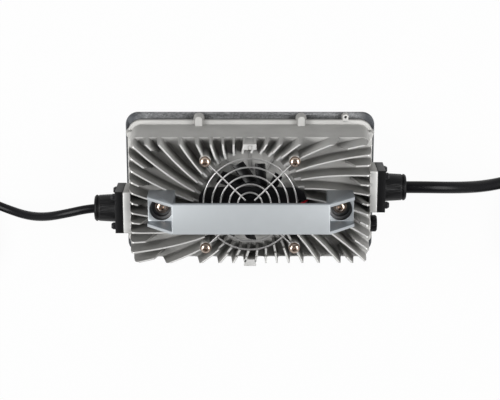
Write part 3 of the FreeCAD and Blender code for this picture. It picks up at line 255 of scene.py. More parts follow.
def softened(nodeName, width, segments=2, limit=38.0, longRounding=None):
    # copy of a CAD piece: doubles merged, flat faces joined, its edges rounded
    shape = bmesh.new()
    shape.from_mesh(frame["nodes"][nodeName].data)
    bmesh.ops.remove_doubles(shape, verts=shape.verts, dist=0.000005)
    bmesh.ops.dissolve_limit(shape, angle_limit=math.radians(0.6), verts=shape.verts, edges=shape.edges)
    passes = [(0.0, width, -1000.0)]
    if longRounding:
        # the longest edges above a level first, with a larger rounding
        passes.insert(0, longRounding)
    for least, size, lowest in passes:
        edges = []
        for edge in shape.edges:
            if len(edge.link_faces) == 2 and edge.calc_face_angle() > math.radians(limit):
                if edge.calc_length() >= least * mm and edge.verts[0].co.z > lowest * mm:
                    edges.append(edge)
        if edges:
            bmesh.ops.bevel(
                shape, geom=edges, offset=size * mm, segments=segments, profile=0.5,
                affect="EDGES", clamp_overlap=True,
            )
    mesh = bpy.data.meshes.new(nodeName + "Soft")
    shape.to_mesh(mesh)
    shape.free()
    return newObject(nodeName + "Soft", mesh)


def settled(piece, slotName, body, *nodes):
    # gives a finished piece its finish and body, and hides the CAD pieces it replaces
    piece.data.materials.clear()
    piece.data.materials.append(materials[slotName])
    smoothed(piece)
    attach(piece, body)
    if nodes:
        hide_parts(*nodes)
    return piece


# Geometry Nodes trees

def growthTree(name, sizes):
    # an empty tree with a geometry input and one named input for each size, None standing for an object
    tree = bpy.data.node_groups.new(name, "GeometryNodeTree")
    for way in ("INPUT", "OUTPUT"):
        tree.interface.new_socket("Geometry", in_out=way, socket_type="NodeSocketGeometry")
    kinds = {int: "NodeSocketInt", float: "NodeSocketFloat", bpy.types.Material: "NodeSocketMaterial"}
    for label, value in sizes.items():
        kind = kinds.get(type(value), "NodeSocketObject")
        tree.interface.new_socket(label, in_out="INPUT", socket_type=kind)
    graph = Graph(tree)
    start = graph.node("NodeGroupInput")
    inputs = {socket.name: Flow(graph, socket) for socket in start.outputs if socket.name}
    return tree, graph, inputs


def closeTree(graph, flow, material):
    # every tree ends in Realize Instances and Set Material
    real = graph.flow("GeometryNodeRealizeInstances", None, {0: flow})
    dressed = graph.flow("GeometryNodeSetMaterial", None, {0: real, 2: material})
    graph.node("NodeGroupOutput", None, {0: dressed})


def grown(name, base, tree, sizes):
    # runs the tree on a base object and keeps the result as a plain mesh
    modifier = base.modifiers.new("growth", "NODES")
    modifier.node_group = tree
    for socket in tree.interface.items_tree:
        if socket.in_out == "INPUT" and socket.name in sizes:
            modifier[socket.identifier] = sizes[socket.name]
    base.update_tag()
    depsgraph = bpy.context.evaluated_depsgraph_get()
    mesh = bpy.data.meshes.new_from_object(base.evaluated_get(depsgraph))
    bpy.data.objects.remove(base)
    return turnedOutwards(newObject(name, mesh))


# Finishes

def shade(colour):
    return (*colour, 1.0)


def cleared(data):
    # the empty node tree of a material or world
    data.use_nodes = True
    data.node_tree.nodes.clear()
    return Graph(data.node_tree)


def finish(name, colour, rough, metal=0.0, gloss=None):
    # starts a material: its graph, its shader node and its object coordinates
    made = bpy.data.materials.new(name)
    graph = cleared(made)
    shader = graph.node("ShaderNodeBsdfPrincipled", None, {
        "Base Color": shade(colour), "Roughness": rough, "Metallic": metal, "Specular IOR Level": gloss,
    })
    graph.node("ShaderNodeOutputMaterial", None, {0: Flow(graph, shader.outputs[0])})
    return (made, graph, shader), graph.flow("ShaderNodeTexCoord", None, None, 3)


def feed(started, **flows):
    made, graph, shader = started
    names = {"colour": "Base Color", "rough": "Roughness", "metal": "Metallic", "normal": "Normal"}
    for name, value in flows.items():
        graph.tree.links.new(value.socket, shader.inputs[names[name]])
    return made


def noise(where, scale, detail=2.0):
    return where.graph.flow("ShaderNodeTexNoise", None, {"Vector": where, "Scale": scale, "Detail": detail})


def mixed(factor, first, second):
    return factor.graph.flow("ShaderNodeMix", {"data_type": "RGBA"}, {0: factor, 6: first, 7: second}, 2)


def bump(height, strength, distance):
    return height.graph.flow("ShaderNodeBump", None, {"Height": height, "Strength": strength, "Distance": distance})


def scaled(colour, factor):
    return colour.graph.flow("ShaderNodeVectorMath", {"operation": "SCALE"}, {0: colour, "Scale": factor})


def facingUp(where):
    # how far the surface faces up, before any bump
    return where.graph.flow("ShaderNodeNewGeometry", None, None, "Normal").parts()[2]


def castFinish():
    # blasted die casting: painted light, paler facing up and darker on its sides; fin tips and bosses ground bright;
    # painted shade deep between the fins
    look = {
        # up and side are one cast surface, painted lit where it faces up and shaded on its sides
        "up": (0.60, 0.595, 0.575), "side": (0.36, 0.355, 0.34), "tip": (0.59, 0.588, 0.575),
        "grain": 1500.0, "patch": 45.0, "wear": 0.22, "bump": (0.25, 0.00012),
        "patchRange": (0.35, 0.7), "paintedLightRange": (0.3, 0.95), "flatRange": (0.6, 0.9), "groundLevel": (0.0625, 0.0635),
        "paintedGapShade": 0.42, "gapX": (0.0985, 0.094), "gapY": (0.0505, 0.046),
        "gapLow": (0.0478, 0.0482), "gapHigh": (0.068, 0.05),
    }
    started, where = finish("castAluminium", look["up"], 0.5)
    patches = noise(where, look["patch"], 4.0).spread(*look["patchRange"])
    grain = noise(where, look["grain"], 3.0)
    pits = noise(where, look["grain"] * 0.35)
    x, y, z = where.parts()
    # painted shade between the fins, from just over the deck to below their tips
    gap = x.size().spread(*look["gapX"]) * y.size().spread(*look["gapY"])
    gap = gap * z.spread(*look["gapLow"]) * z.spread(*look["gapHigh"])
    facing = facingUp(where)
    ground = z.spread(*look["groundLevel"]) * facing.spread(*look["flatRange"])
    # painted light: paler where the surface faces up, darker on its sides
    paintedLitSkin = mixed(facing.spread(*look["paintedLightRange"]), shade(look["side"]), shade(look["up"]))
    worn = (patches * 0.6 + grain * 0.3) * look["wear"]
    tone = scaled(paintedLitSkin, (1.0 - worn) * (1.0 - gap * look["paintedGapShade"]))
    return feed(
        started,
        colour=mixed(ground, tone, shade(look["tip"])),
        rough=patches * 0.1 + grain * 0.12 + 0.45 - ground * 0.12,
        metal=ground * 0.5,
        normal=bump(grain * 0.6 + pits * 0.4, *look["bump"]),
    )


def zincFinish():
    # painted dark reflection: the plate's ends are darker than the strip along the wall
    look = {
        "pale": (0.4, 0.405, 0.41), "dark": (0.038, 0.041, 0.046), "spangle": 1000.0, "grain": 700.0,
        "corner": (0.086, 0.097, 1.0, 0.1), "bump": (0.15, 0.00008),
    }
    started, where = finish("zincSheet", look["dark"], 0.4, 0.8)
    cells = where.graph.flow("ShaderNodeTexVoronoi", None, {"Vector": where, "Scale": look["spangle"]}, 1)
    tone = cells.parts()[0] * 0.35 + noise(where, look["grain"], 4.0) * 0.65
    # painted dark reflection on the plate's ends, beyond about 86 mm from the middle
    corner = where.parts()[0].size().spread(*look["corner"])
    return feed(
        started,
        colour=mixed(tone * corner, shade(look["dark"]), shade(look["pale"])),
        rough=tone * 0.15 + 0.38,
        normal=bump(tone, *look["bump"]),
    )


def handleFinish():
    # satin extrusion: painted light, paler on top and darker on its sides; painted shade inside the two screw bores,
    # which keep their turning marks
    look = {
        # pale and side are one satin surface painted lit on top and shaded on its sides; bore is painted shade
        "pale": (0.53, 0.56, 0.58), "side": (0.27, 0.295, 0.32), "bore": (0.12, 0.12, 0.122),
        "grain": 2200.0, "cloud": 60.0, "turning": 9000.0, "wear": 0.12, "bump": (0.12, 0.00006),
        "boreRadius": 0.0093, "boreTop": 0.0832, "middle": 0.0007, "reach": 0.07065,
        "cloudRange": (0.3, 0.7), "paintedLightRange": (0.1, 0.9),
    }
    started, where = finish("satinAluminium", look["pale"], 0.34, 0.5)
    grain = noise(where, look["grain"], 3.0)
    clouds = noise(where, look["cloud"], 3.0).spread(*look["cloudRange"])
    x, y, z = where.parts()
    along = (x - look["middle"]).size() - look["reach"]
    distance = (along * along + y * y).root()
    # painted shade inside the two screw bores; the turning marks in them also set roughness and bump
    bored = (look["boreRadius"] - distance).over(0.0) * (look["boreTop"] - z).over(0.0)
    turned = (distance * look["turning"]).sine() * 0.5 + 0.5
    # painted light: paler where the surface faces up, darker on its sides
    paintedLitSkin = mixed(facingUp(where).spread(*look["paintedLightRange"]), shade(look["side"]), shade(look["pale"]))
    tone = scaled(paintedLitSkin, 1.0 - (clouds * 0.5 + grain * 0.3) * look["wear"])
    return feed(
        started,
        colour=mixed(bored, tone, shade(look["bore"])),
        rough=grain * 0.1 + clouds * 0.05 + 0.3 + bored * turned * 0.15,
        normal=bump(grain + bored * turned, *look["bump"]),
    )


def boardFinish():
    look = {
        "mask": (0.012, 0.11, 0.045), "track": (0.03, 0.2, 0.085),
        "cell": 160.0, "edge": 0.42, "grain": 400.0, "bump": (0.4, 0.00003),
    }
    started, where = finish("circuitBoard", look["mask"], 0.3)
    sockets = {"Vector": where, "Scale": look["cell"]}
    tracks = where.graph.flow("ShaderNodeTexVoronoi", {"distance": "CHEBYCHEV"}, sockets).over(look["edge"])
    return feed(
        started,
        colour=mixed(tracks, shade(look["mask"]), shade(look["track"])),
        rough=noise(where, look["grain"]) * 0.15 + 0.22,
        normal=bump(tracks, *look["bump"]),
    )


def plainFinish(name, colour, rough, metal=0.0, grain=1200.0, depth=0.00006, contrast=0.25, gloss=None):
    # one colour and roughness, broken by fine and broad grain
    started, where = finish(name, colour, rough, metal, gloss)
    fine = noise(where, grain, 3.0)
    broad = noise(where, grain * 0.06)
    dark = tuple(part * (1.0 - contrast) for part in colour)
    pale = tuple(min(part * (1.0 + contrast), 1.0) for part in colour)
    return feed(
        started,
        colour=mixed(fine * 0.5 + broad * 0.5, shade(dark), shade(pale)),
        rough=(fine - 0.5) * 0.12 + (broad - 0.5) * 0.1 + rough,
        normal=bump(fine, 0.3, depth),
    )


plainLooks = {
    # slot: name, colour, roughness, metallic, then what differs from the usual grain
    "black_plastic": ("blackPlastic", (0.004, 0.004, 0.0045), 0.42, 0.0,
                      {"grain": 1500.0, "depth": 0.0002, "gloss": 0.15}),
    "black_rubber": ("blackRubber", (0.010, 0.010, 0.0105), 0.62, 0.0, {"grain": 900.0, "gloss": 0.3}),
    "lead_sheath": ("leadSheath", (0.003, 0.003, 0.004), 0.3, 0.0,
                    {"grain": 700.0, "depth": 0.00003, "gloss": 0.12}),
    "nickel_screw": ("nickelScrew", (0.43, 0.345, 0.29), 0.23, 1.0, {"grain": 500.0, "depth": 0.00001}),
    "black_screw": ("blackScrew", (0.02, 0.02, 0.022), 0.3, 0.6, {"grain": 800.0}),
    "guard_wire": ("guardWire", (0.45, 0.445, 0.44), 0.38, 1.0, {"grain": 600.0, "depth": 0.00001}),
    "fan_black": ("fanBlack", (0.004, 0.004, 0.0045), 0.3, 0.0, {"grain": 1300.0, "gloss": 0.2}),
    "magnet": ("bondedMagnet", (0.05, 0.048, 0.047), 0.6, 0.0, {}),
    "motor_steel": ("motorSteel", (0.42, 0.42, 0.43), 0.35, 0.9, {}),
    "bearing_bronze": ("bearingBronze", (0.5, 0.33, 0.16), 0.4, 0.9, {}),
    "red_wire": ("redWire", (0.62, 0.012, 0.03), 0.35, 0.0, {"grain": 700.0}),
    "black_wire": ("blackWire", (0.012, 0.012, 0.013), 0.35, 0.0, {"grain": 700.0}),
    "ferrite": ("ferriteCore", (0.07, 0.07, 0.075), 0.55, 0.0, {}),
    "copper_winding": ("copperWinding", (0.55, 0.22, 0.09), 0.3, 0.9, {"contrast": 0.4}),
    "capacitor_can": ("capacitorCan", (0.07, 0.08, 0.11), 0.3, 0.0, {}),
    "device_black": ("deviceBlack", (0.02, 0.02, 0.022), 0.5, 0.0, {}),
    "plain_aluminium": ("plainAluminium", (0.6, 0.6, 0.61), 0.4, 0.95, {}),
    "brass": ("brightBrass", (0.65, 0.48, 0.2), 0.25, 1.0, {}),
    "plated_contact": ("platedContact", (0.75, 0.75, 0.74), 0.2, 1.0, {"grain": 500.0, "depth": 0.00001}),
    "fuse_glass": ("fuseBody", (0.6, 0.62, 0.6), 0.25, 0.0, {}),
    "relay_plastic": ("relayPlastic", (0.03, 0.05, 0.2), 0.4, 0.0, {}),
    "terminal_green": ("terminalGreen", (0.02, 0.16, 0.06), 0.45, 0.0, {}),
}
materials = {
    "cast_aluminium": castFinish(), "zinc_sheet": zincFinish(),
    "handle_aluminium": handleFinish(), "circuit_board": boardFinish(),
}
for slot, (name, colour, rough, metal, rest) in plainLooks.items():
    materials[slot] = plainFinish(name, colour, rough, metal, **rest)
for part in frame["record"]["subparts"]:
    node = frame["nodes"][part["node"]]
    if not node.material_slots:
        node.data.materials.append(None)
    for spot in node.material_slots:
        spot.material = materials[part["material_slot"]]
print("materials made", len(materials))


# Camera, light and floor

view = {
    "target": Vector((0.0, 0.0, 70.0 * mm)),
    "distance": 1.1,
    "tilt": math.radians(15.3),
    "focalPixels": 1380.0,
    "frameWidth": 500.0,
    "targetPixel": (250.0, 204.6),
    "frameMiddle": (250.0, 200.0),
}


def makeCamera():
    data = bpy.data.cameras.new("photoCamera")
    camera = newObject("photoCamera", data)
    across = Vector((1.0, 0.0, 0.0))
    back = Vector((0.0, math.sin(view["tilt"]), math.cos(view["tilt"])))
    turn = Matrix((across, back.cross(across), back)).transposed().to_4x4()
    camera.matrix_world = Matrix.Translation(view["target"] + back * view["distance"]) @ turn
    data.lens = view["focalPixels"] / view["frameWidth"] * data.sensor_width
    data.shift_x = (view["frameMiddle"][0] - view["targetPixel"][0]) / view["frameWidth"]
    data.shift_y = (view["targetPixel"][1] - view["frameMiddle"][1]) / view["frameWidth"]
    data.clip_start = 0.05
    data.clip_end = 20.0
    scene.camera = camera


light = {
    "ambient": 0.07, "horizon": 1.0, "zenith": 0.22, "band": (0.2, 0.75),
    "aim": Vector((0.0, 0.0, 50.0 * mm)),
    "lamps": (
        # name, place, width, height, power
        ("leftBox", (-1.05, 0.1, 1.0), 1.1, 0.7, 24.5),
        ("rightBox", (1.05, 0.1, 1.0), 1.1, 0.7, 21.5),
    ),
}
paper = {"half": 6000.0, "grey": 0.5, "glow": 0.96}


def seenBy(graph, *rays):
    # 1 where one of these rays looks, else 0
    path = graph.node("ShaderNodeLightPath")
    seen = Flow(graph, path.outputs[rays[0]])
    for ray in rays[1:]:
        seen = seen.high(Flow(graph, path.outputs[ray]))
    return seen


def makeWorld():
    # bright low on the walls of the room, dimmer overhead, and at full strength only where it is seen
    world = bpy.data.worlds.new("studio")
    graph = cleared(world)
    z = graph.flow("ShaderNodeTexCoord").parts()[2]
    seen = seenBy(graph, "Is Camera Ray", "Is Glossy Ray", "Is Transmission Ray")
    level = z.spread(*light["band"], light["horizon"], light["zenith"]) * seen.spread(0.0, 1.0, light["ambient"], 1.0)
    sky = graph.flow("ShaderNodeBackground", None, {"Color": (1.0, 1.0, 1.0, 1.0), "Strength": level})
    graph.node("ShaderNodeOutputWorld", None, {0: sky})
    scene.world = world


def makeLamps():
    for name, place, width, height, power in light["lamps"]:
        data = bpy.data.lights.new(name, "AREA")
        data.shape = "RECTANGLE"
        data.size = width
        data.size_y = height
        data.energy = power
        lamp = newObject(name, data)
        lamp.location = place
        lamp.rotation_euler = (light["aim"] - Vector(place)).to_track_quat("-Z", "Y").to_euler()


def makeFloor():
    # white where it is seen, with the object's shadow left in it, and plain grey paper as light
    half = paper["half"]
    corners = [(x * half, y * half, 0.0) for x, y in ((-1, -1), (1, -1), (1, 1), (-1, 1))]
    floor = meshObject("studioFloor", corners, [(0, 1, 2, 3)])
    made = bpy.data.materials.new("studioPaper")
    graph = cleared(made)
    matt = graph.flow("ShaderNodeBsdfDiffuse", None, {"Color": shade([paper["grey"]] * 3)})
    glow = graph.flow("ShaderNodeEmission", None, {"Color": (1.0, 1.0, 1.0, 1.0), "Strength": 1.0})
    seen = seenBy(graph, "Is Camera Ray", "Is Glossy Ray") * paper["glow"]
    blend = graph.flow("ShaderNodeMixShader", None, {0: seen, 1: matt, 2: glow})
    graph.node("ShaderNodeOutputMaterial", None, {0: blend})
    floor.data.materials.append(made)


makeCamera()
makeWorld()
makeLamps()
makeFloor()
scene.view_settings.view_transform = "Standard"
print("camera, lamps and floor made")


# Cast housing: shell, spiral fins and the small forms on it

casting = {
    "rimHalf": (102.0, 55.8), "rimCorner": 11.8, "rimEdge": 1.1, "rimLowEdge": 0.3, "rimFillet": 1.4,
    "wallHalf": (99.2, 52.0), "wallCorner": 9.0, "wall": 3.0, "innerCorner": 1.0, "draft": 2.6, "deckEdge": 0.6,
}
levels = {"under": 2.6, "rim": 8.0, "ceiling": 44.0, "deck": 48.0, "step": 63.79, "tip": 70.0}
fins = {
    "count": 36, "firstAngle": 88.5, "swing": 16.5, "wellRadius": 40.5, "footRadius": 38.5, "stepRadius": 45.4,
    "tipThickness": 1.3, "sideDraft": 1.3, "tipRounding": 0.32, "rootFlare": 1.3,
    "endRounding": 0.9, "endCurve": 2.6, "curveHeight": 14.0, "sections": 26,
    "lowRows": (-0.5, 0.0, 0.15, 0.45, 0.85, 1.3, 4.0, 8.0, 12.0), "stepRows": (0.25, 0.07), "stepGap": 0.002,
    "highRows": (18.0, 20.0), "tipRows": (0.32, 0.2, 0.08, 0.0),
    "shortFoot": 82.5, "shortTip": 89.5, "leastLength": 6.0,
    "loweredTo": 66.0, "loweredHalf": 10.0, "loweredFrom": 44.0, "firstReach": 1.2, "rounds": 6,
}


def bow(radius, distance):
    # how far a circle has fallen away at this distance from its top
    return radius - math.sqrt(max(radius ** 2 - distance ** 2, 0.0))


def finBlank(stepped):
    # one straight fin: X runs 0 to 1 along it, Y is its thickness, Z its height over the deck
    height, step = levels["tip"] - levels["deck"], levels["step"] - levels["deck"]
    flare, rounding = fins["rootFlare"], fins["tipRounding"]
    rows = list(fins["lowRows"])
    if stepped:
        rows += [step - below for below in fins["stepRows"]]
    rows += [step, step + fins["stepGap"], *fins["highRows"]]
    rows += [height - below for below in fins["tipRows"]]
    across = []
    for row in rows:
        half = fins["tipThickness"] / 2 + (height - row) * math.tan(math.radians(fins["sideDraft"]))
        half += bow(flare, max(flare - max(row, 0.0), 0.0))
        across.append(half - bow(rounding, max(row - (height - rounding), 0.0)))
    points, faces = [], []
    sections = fins["sections"]
    for index in range(sections + 1):
        for half, row in zip(across, rows):
            points += [(index / sections / mm, -half, row), (index / sections / mm, half, row)]
    ring = 2 * len(rows)
    pairs = range(0, ring - 2, 2)
    for near in range(0, sections * ring, ring):
        far = near + ring
        for low in pairs:
            faces.append((near + low, far + low, far + low + 2, near + low + 2))
            faces.append((near + low + 1, near + low + 3, far + low + 3, far + low + 1))
        faces.append((near, near + 1, far + 1, far))
        faces.append((near + ring - 2, far + ring - 2, far + ring - 1, near + ring - 1))
    last = sections * ring
    faces += [(low, low + 2, low + 3, low + 1) for low in pairs]
    faces += [(last + low, last + low + 1, last + low + 3, last + low + 2) for low in pairs]
    return turnedOutwards(meshObject("finBlank", points, faces), 0.0000001)


def outlineReach(x, y, halfX, halfY, corner):
    # distance from the middle to the drafted rounded outline in the direction of x and y
    size = (x * x + y * y).root()
    ahead = x.size() / size
    aside = y.size() / size
    flat = 1.0 / (ahead / halfX).high(aside / halfY)
    cornerX = halfX - corner
    cornerY = halfY - corner
    along = ahead * cornerX + aside * cornerY
    off = ahead * cornerY - aside * cornerX
    bowed = along + (corner * corner - off * off).root()
    inCorner = (flat * ahead).over(cornerX) * (flat * aside).over(cornerY)
    return flat + inCorner * (bowed - flat), size


def finSizes(changes=None):
    # values of the tree's inputs, in metres and degrees
    sizes = {
        "Count": fins["count"], "First Angle": fins["firstAngle"], "Swing": fins["swing"],
        "Spiral Radius": fins["wellRadius"] * mm, "Foot Radius": fins["footRadius"] * mm,
        "Upper Radius": fins["wellRadius"] * mm, "Step Radius": fins["stepRadius"] * mm,
        "Step Height": (levels["step"] - levels["deck"]) * mm,
        "Half Length": casting["wallHalf"][0] * mm, "Half Width": casting["wallHalf"][1] * mm,
        "Corner": casting["wallCorner"] * mm, "Wall Draft": math.tan(math.radians(casting["draft"])),
        "End Rounding": fins["endRounding"] * mm, "End Curve": fins["endCurve"] * mm,
        "Curve Height": fins["curveHeight"] * mm, "Deck": levels["deck"] * mm, "Rim": levels["rim"] * mm,
        "Height": (levels["tip"] - levels["deck"]) * mm, "Least Length": -1.0,
        "Lowered Height": (fins["loweredTo"] - levels["deck"]) * mm,
        "Lowered Half": fins["loweredHalf"] * mm, "Lowered From": fins["loweredFrom"] * mm,
        "Metal": materials["cast_aluminium"],
    }
    sizes.update(changes or {})
    return sizes


def finTree():
    tree, graph, size = growthTree("spiralFins", finSizes())
    number = {"data_type": "FLOAT", "domain": "POINT"}
    tagged = graph.flow(
        "GeometryNodeStoreNamedAttribute", number,
        {"Geometry": graph.row(size["Count"]), "Name": "finNumber", "Value": graph.flow("GeometryNodeInputIndex")},
    )
    solid = graph.flow("GeometryNodeRealizeInstances", None, {0: graph.copies(tagged, size["Geometry"])})
    mark = graph.named("finNumber")
    u, s, h = graph.flow("GeometryNodeInputPosition").parts()
    # sizes that follow the height
    level = h + size["Deck"]
    rise = (h - (size["Height"] - size["End Rounding"])).high(0.0)
    rounding = size["End Rounding"] - (size["End Rounding"] * size["End Rounding"] - rise * rise).root()
    shrink = (level - size["Rim"]) * size["Wall Draft"] + rounding
    bend = (h - (size["Height"] - size["Curve Height"])).high(0.0) / size["Curve Height"]
    halfX = size["Half Length"] - shrink - size["End Curve"] * (1.0 - (1.0 - bend * bend).root())
    halfY = size["Half Width"] - shrink
    corner = (size["Corner"] - shrink).high(0.001)
    lower = size["Foot Radius"] + (size["Upper Radius"] - size["Foot Radius"]) * (h / size["Step Height"])
    above = h.over(size["Step Height"] + 0.000001)
    inner = lower + above * (size["Step Radius"] - lower).high(0.0)
    start = (size["First Angle"] + mark * (360.0 / size["Count"])) * (math.pi / 180.0)
    lean = size["Swing"] * (math.pi / 180.0)
    tilt = lean.calc("ARCTANGENT")

    def spiralPoint(radius):
        angle = start - lean * (radius / size["Spiral Radius"]).log()
        heading = angle - tilt
        x = radius * angle.cosine() - s * heading.sine()
        y = radius * angle.sine() + s * heading.cosine()
        return x, y

    # the outer end is guessed and then brought to the outline in a few rounds
    outer = size["Half Width"] * fins["firstReach"]
    for _ in range(fins["rounds"]):
        x, y = spiralPoint(outer)
        reach, length = outlineReach(x, y, halfX, halfY, corner)
        outer = outer * (reach / length)
    radius = inner + (outer - inner) * u
    x, y = spiralPoint(radius)
    lowered = (size["Lowered Half"] - x.size()).over(0.0) * (0.0 - y - size["Lowered From"]).over(0.0)
    z = level - lowered * (h - size["Lowered Height"]).high(0.0)
    # a fin that would be shorter than the least length is left out as a whole
    way = start - lean * (size["Upper Radius"] / size["Spiral Radius"]).log()
    outline = size["Half Length"], size["Half Width"], size["Corner"]
    reach, length = outlineReach(way.cosine(), way.sine(), *outline)
    kept = graph.flow(
        "GeometryNodeStoreNamedAttribute", number,
        {"Geometry": solid, "Name": "fullLength", "Value": reach - size["Upper Radius"]},
    )
    moved = graph.flow("GeometryNodeSetPosition", None, {"Geometry": kept, "Position": graph.join(x, y, z)})
    short = size["Least Length"].over(graph.named("fullLength"))
    trimmed = graph.flow("GeometryNodeDeleteGeometry", {"domain": "POINT"}, {"Geometry": moved, "Selection": short})
    closeTree(graph, trimmed, size["Metal"])
    return tree


def makeFins():
    tree = finTree()
    longFins = grown("longFins", finBlank(True), tree, finSizes())
    # short fins lie half way between the long ones, where the outline reaches far enough
    ramp = (fins["shortTip"] - fins["shortFoot"]) / (levels["tip"] - levels["deck"])
    shortFins = grown("shortFins", finBlank(False), tree, finSizes({
        "First Angle": fins["firstAngle"] + 180.0 / fins["count"], "Foot Radius": fins["shortFoot"] * mm,
        "Upper Radius": (fins["shortFoot"] + ramp * (levels["step"] - levels["deck"])) * mm,
        "Step Radius": 0.0, "Least Length": fins["leastLength"] * mm,
    }))
    print("fins grown", len(longFins.data.polygons), len(shortFins.data.polygons))
    return [longFins, shortFins]


def wallAt(level):
    shrink = (level - levels["rim"]) * math.tan(math.radians(casting["draft"]))
    half = casting["wallHalf"]
    return half[0] - shrink, half[1] - shrink, casting["wallCorner"] - shrink


def castShell():
    # inside ceiling, inner walls, rim, outer walls and deck as one closed skin
    rings = []

    def addRing(half, corner, level, out=0.0):
        rings.append(roundedOutline(half[0] + out, half[1] + out, corner + out, level))

    for level in (levels["ceiling"], levels["under"]):
        *half, corner = wallAt(level)
        addRing(half, corner + casting["innerCorner"], level, -casting["wall"])
    rim, corner, edge = casting["rimHalf"], casting["rimCorner"], casting["rimLowEdge"]
    addRing(rim, corner, levels["under"], -edge)
    addRing(rim, corner, levels["under"] + edge)
    for inset, drop in quarterArc(casting["rimEdge"], 5):
        addRing(rim, corner, levels["rim"] - drop, -inset)
    for rise, out in quarterArc(casting["rimFillet"], 5):
        *half, corner = wallAt(levels["rim"] + rise)
        addRing(half, corner, levels["rim"] + rise, out)
    for inset, drop in quarterArc(casting["deckEdge"], 4):
        *half, corner = wallAt(levels["deck"] - drop)
        addRing(half, corner, levels["deck"] - drop, -inset)
    return lofted("castShell", rings)


posts = {
    "guardPitch": 71.1, "guardRadius": 4.5, "foot": 1.6, "lip": 0.35, "sunk": 0.5,
    "handleCentres": ((-69.95, 0.0), (71.35, 0.0)), "handleRadius": 7.0,
    "fanCentres": ((-37.6, -6.2), (37.6, -6.2)), "fanRadius": 3.2,
}
rimBoss = {"root": 4.6, "tip": 3.05, "low": 2.6, "high": 13.0, "reach": 5.3, "pitch": 85.0, "endPitch": 88.0}
plateHalf = (103.8, 61.2)
wellRib = {"count": 12, "start": 22.6, "length": 15.9, "width": 2.0, "height": 1.2, "foot": 0.6, "lip": 0.35}
glandPad = {
    "half": (16.0, 17.2), "sunk": 1.6, "face": 101.88, "corner": 1.3, "edge": 0.5, "offset": 8.7, "level": 48.0,
}
web = {
    "half": (5.0, 2.3), "low": 0.02, "corner": 0.5, "edge": 0.35, "middle": 2.6, "hollow": (2.0, 2.1), "depth": 0.6,
    "boss": ((1.35, -1.5), (1.35, -0.3), (1.15, -0.1), (0.5, -0.1), (0.4, -0.2)),
}
lowBlock = {"half": (5.0, 2.85), "under": 46.0, "corner": 0.6, "edge": 0.5, "out": 0.55}
lug = {"place": (79.2, 58.2, 0.0), "root": 3.0, "tip": 2.4, "reach": 3.8, "lip": 0.3, "hole": 1.1, "depth": 4.0}
ventPad = {"place": (0.0, -25.8, 34.0), "profile": ((8.8, 97.2), (8.5, 98.7), (8.2, 98.99), (0.01, 98.99))}
# how far a form runs into its neighbour, or a cutter out of its piece
past = 0.5


def castPost(radius, top, place):
    # round post with a flared foot and a rounded upper edge
    deck = levels["deck"]
    profile = [(radius + posts["foot"], deck - posts["sunk"])]
    profile += [(radius + out, deck + rise) for rise, out in quarterArc(posts["foot"], 4)]
    profile += [(radius - inset, top - drop) for inset, drop in quarterArc(posts["lip"], 3)]
    return placedAt(lathed("castPost", profile), (*place, 0.0))


def slotRing(radius, reach, level, side=10):
    # round outer end along +Y, straight sides running back along -Y
    ring = []
    for index in range(side + 1):
        angle = math.pi * index / side
        ring.append((radius * math.cos(angle), radius * math.sin(angle), level))
    return ring + [(-radius, -reach, level), (radius, -reach, level)]


def draftedBoss(root, tip, reach, low, high, lip=0.5):
    rings = [slotRing(root, reach, low)]
    rings += [slotRing(tip - inset, reach, high - drop) for inset, drop in quarterArc(lip, 3)]
    return lofted("draftedBoss", rings)


def rimBossPlaces():
    sideLine, endLine = plateHalf[1] - rimBoss["root"], plateHalf[0] - rimBoss["root"]
    places = []
    for signX in (-1, 1):
        for signY in (-1, 1):
            places.append((signX * rimBoss["pitch"] / 2, signY * sideLine, 0.0, 0 if signY > 0 else 180))
            places.append((signX * endLine, signY * rimBoss["endPitch"] / 2, 0.0, -90 if signX > 0 else 90))
    return places


def copyTree():
    # puts a copy of the modifier's own mesh at each point, turned as the point says
    tree, graph, size = growthTree("copiesInPlace", {"Places": None, "Metal": materials["cast_aluminium"]})
    points = graph.flow("GeometryNodeObjectInfo", None, {"Object": size["Places"]}, "Geometry")
    copies = graph.copies(points, size["Geometry"], Rotation=graph.join(0.0, 0.0, graph.named("turn")))
    closeTree(graph, copies, size["Metal"])
    return tree


def copiesAt(name, piece, places, material):
    # each place is x, y, z and a turn about Z in degrees
    spots = meshObject("places", [place[:3] for place in places], [])
    turns = spots.data.attributes.new("turn", "FLOAT", "POINT")
    for index, place in enumerate(places):
        turns.data[index].value = math.radians(place[-1])
    made = grown(name, piece, inPlaces, {"Places": spots, "Metal": material})
    bpy.data.objects.remove(spots)
    return made


def ringOf(name, piece, count, first, material):
    # copies set evenly round the middle
    places = [(0.0, 0.0, 0.0, first + 360.0 * index / count) for index in range(count)]
    return copiesAt(name, piece, places, material)


def wellRibs():
    # low ribs with rounded long edges on the floor of the well
    deck = levels["deck"]
    half, lip, high = wellRib["width"] / 2, wellRib["lip"], deck + wellRib["height"]
    side = [(half + past, deck - past), (half, deck - past + wellRib["foot"]), (half, high - lip), (half - lip, high)]
    section = [(-y, z) for y, z in side] + side[::-1]
    ends = (wellRib["start"], wellRib["start"] + wellRib["length"])
    rib = lofted("rib", [[(x, y, z) for y, z in section] for x in ends])
    return ringOf("wellRibs", rib, wellRib["count"], 0.0, materials["cast_aluminium"])


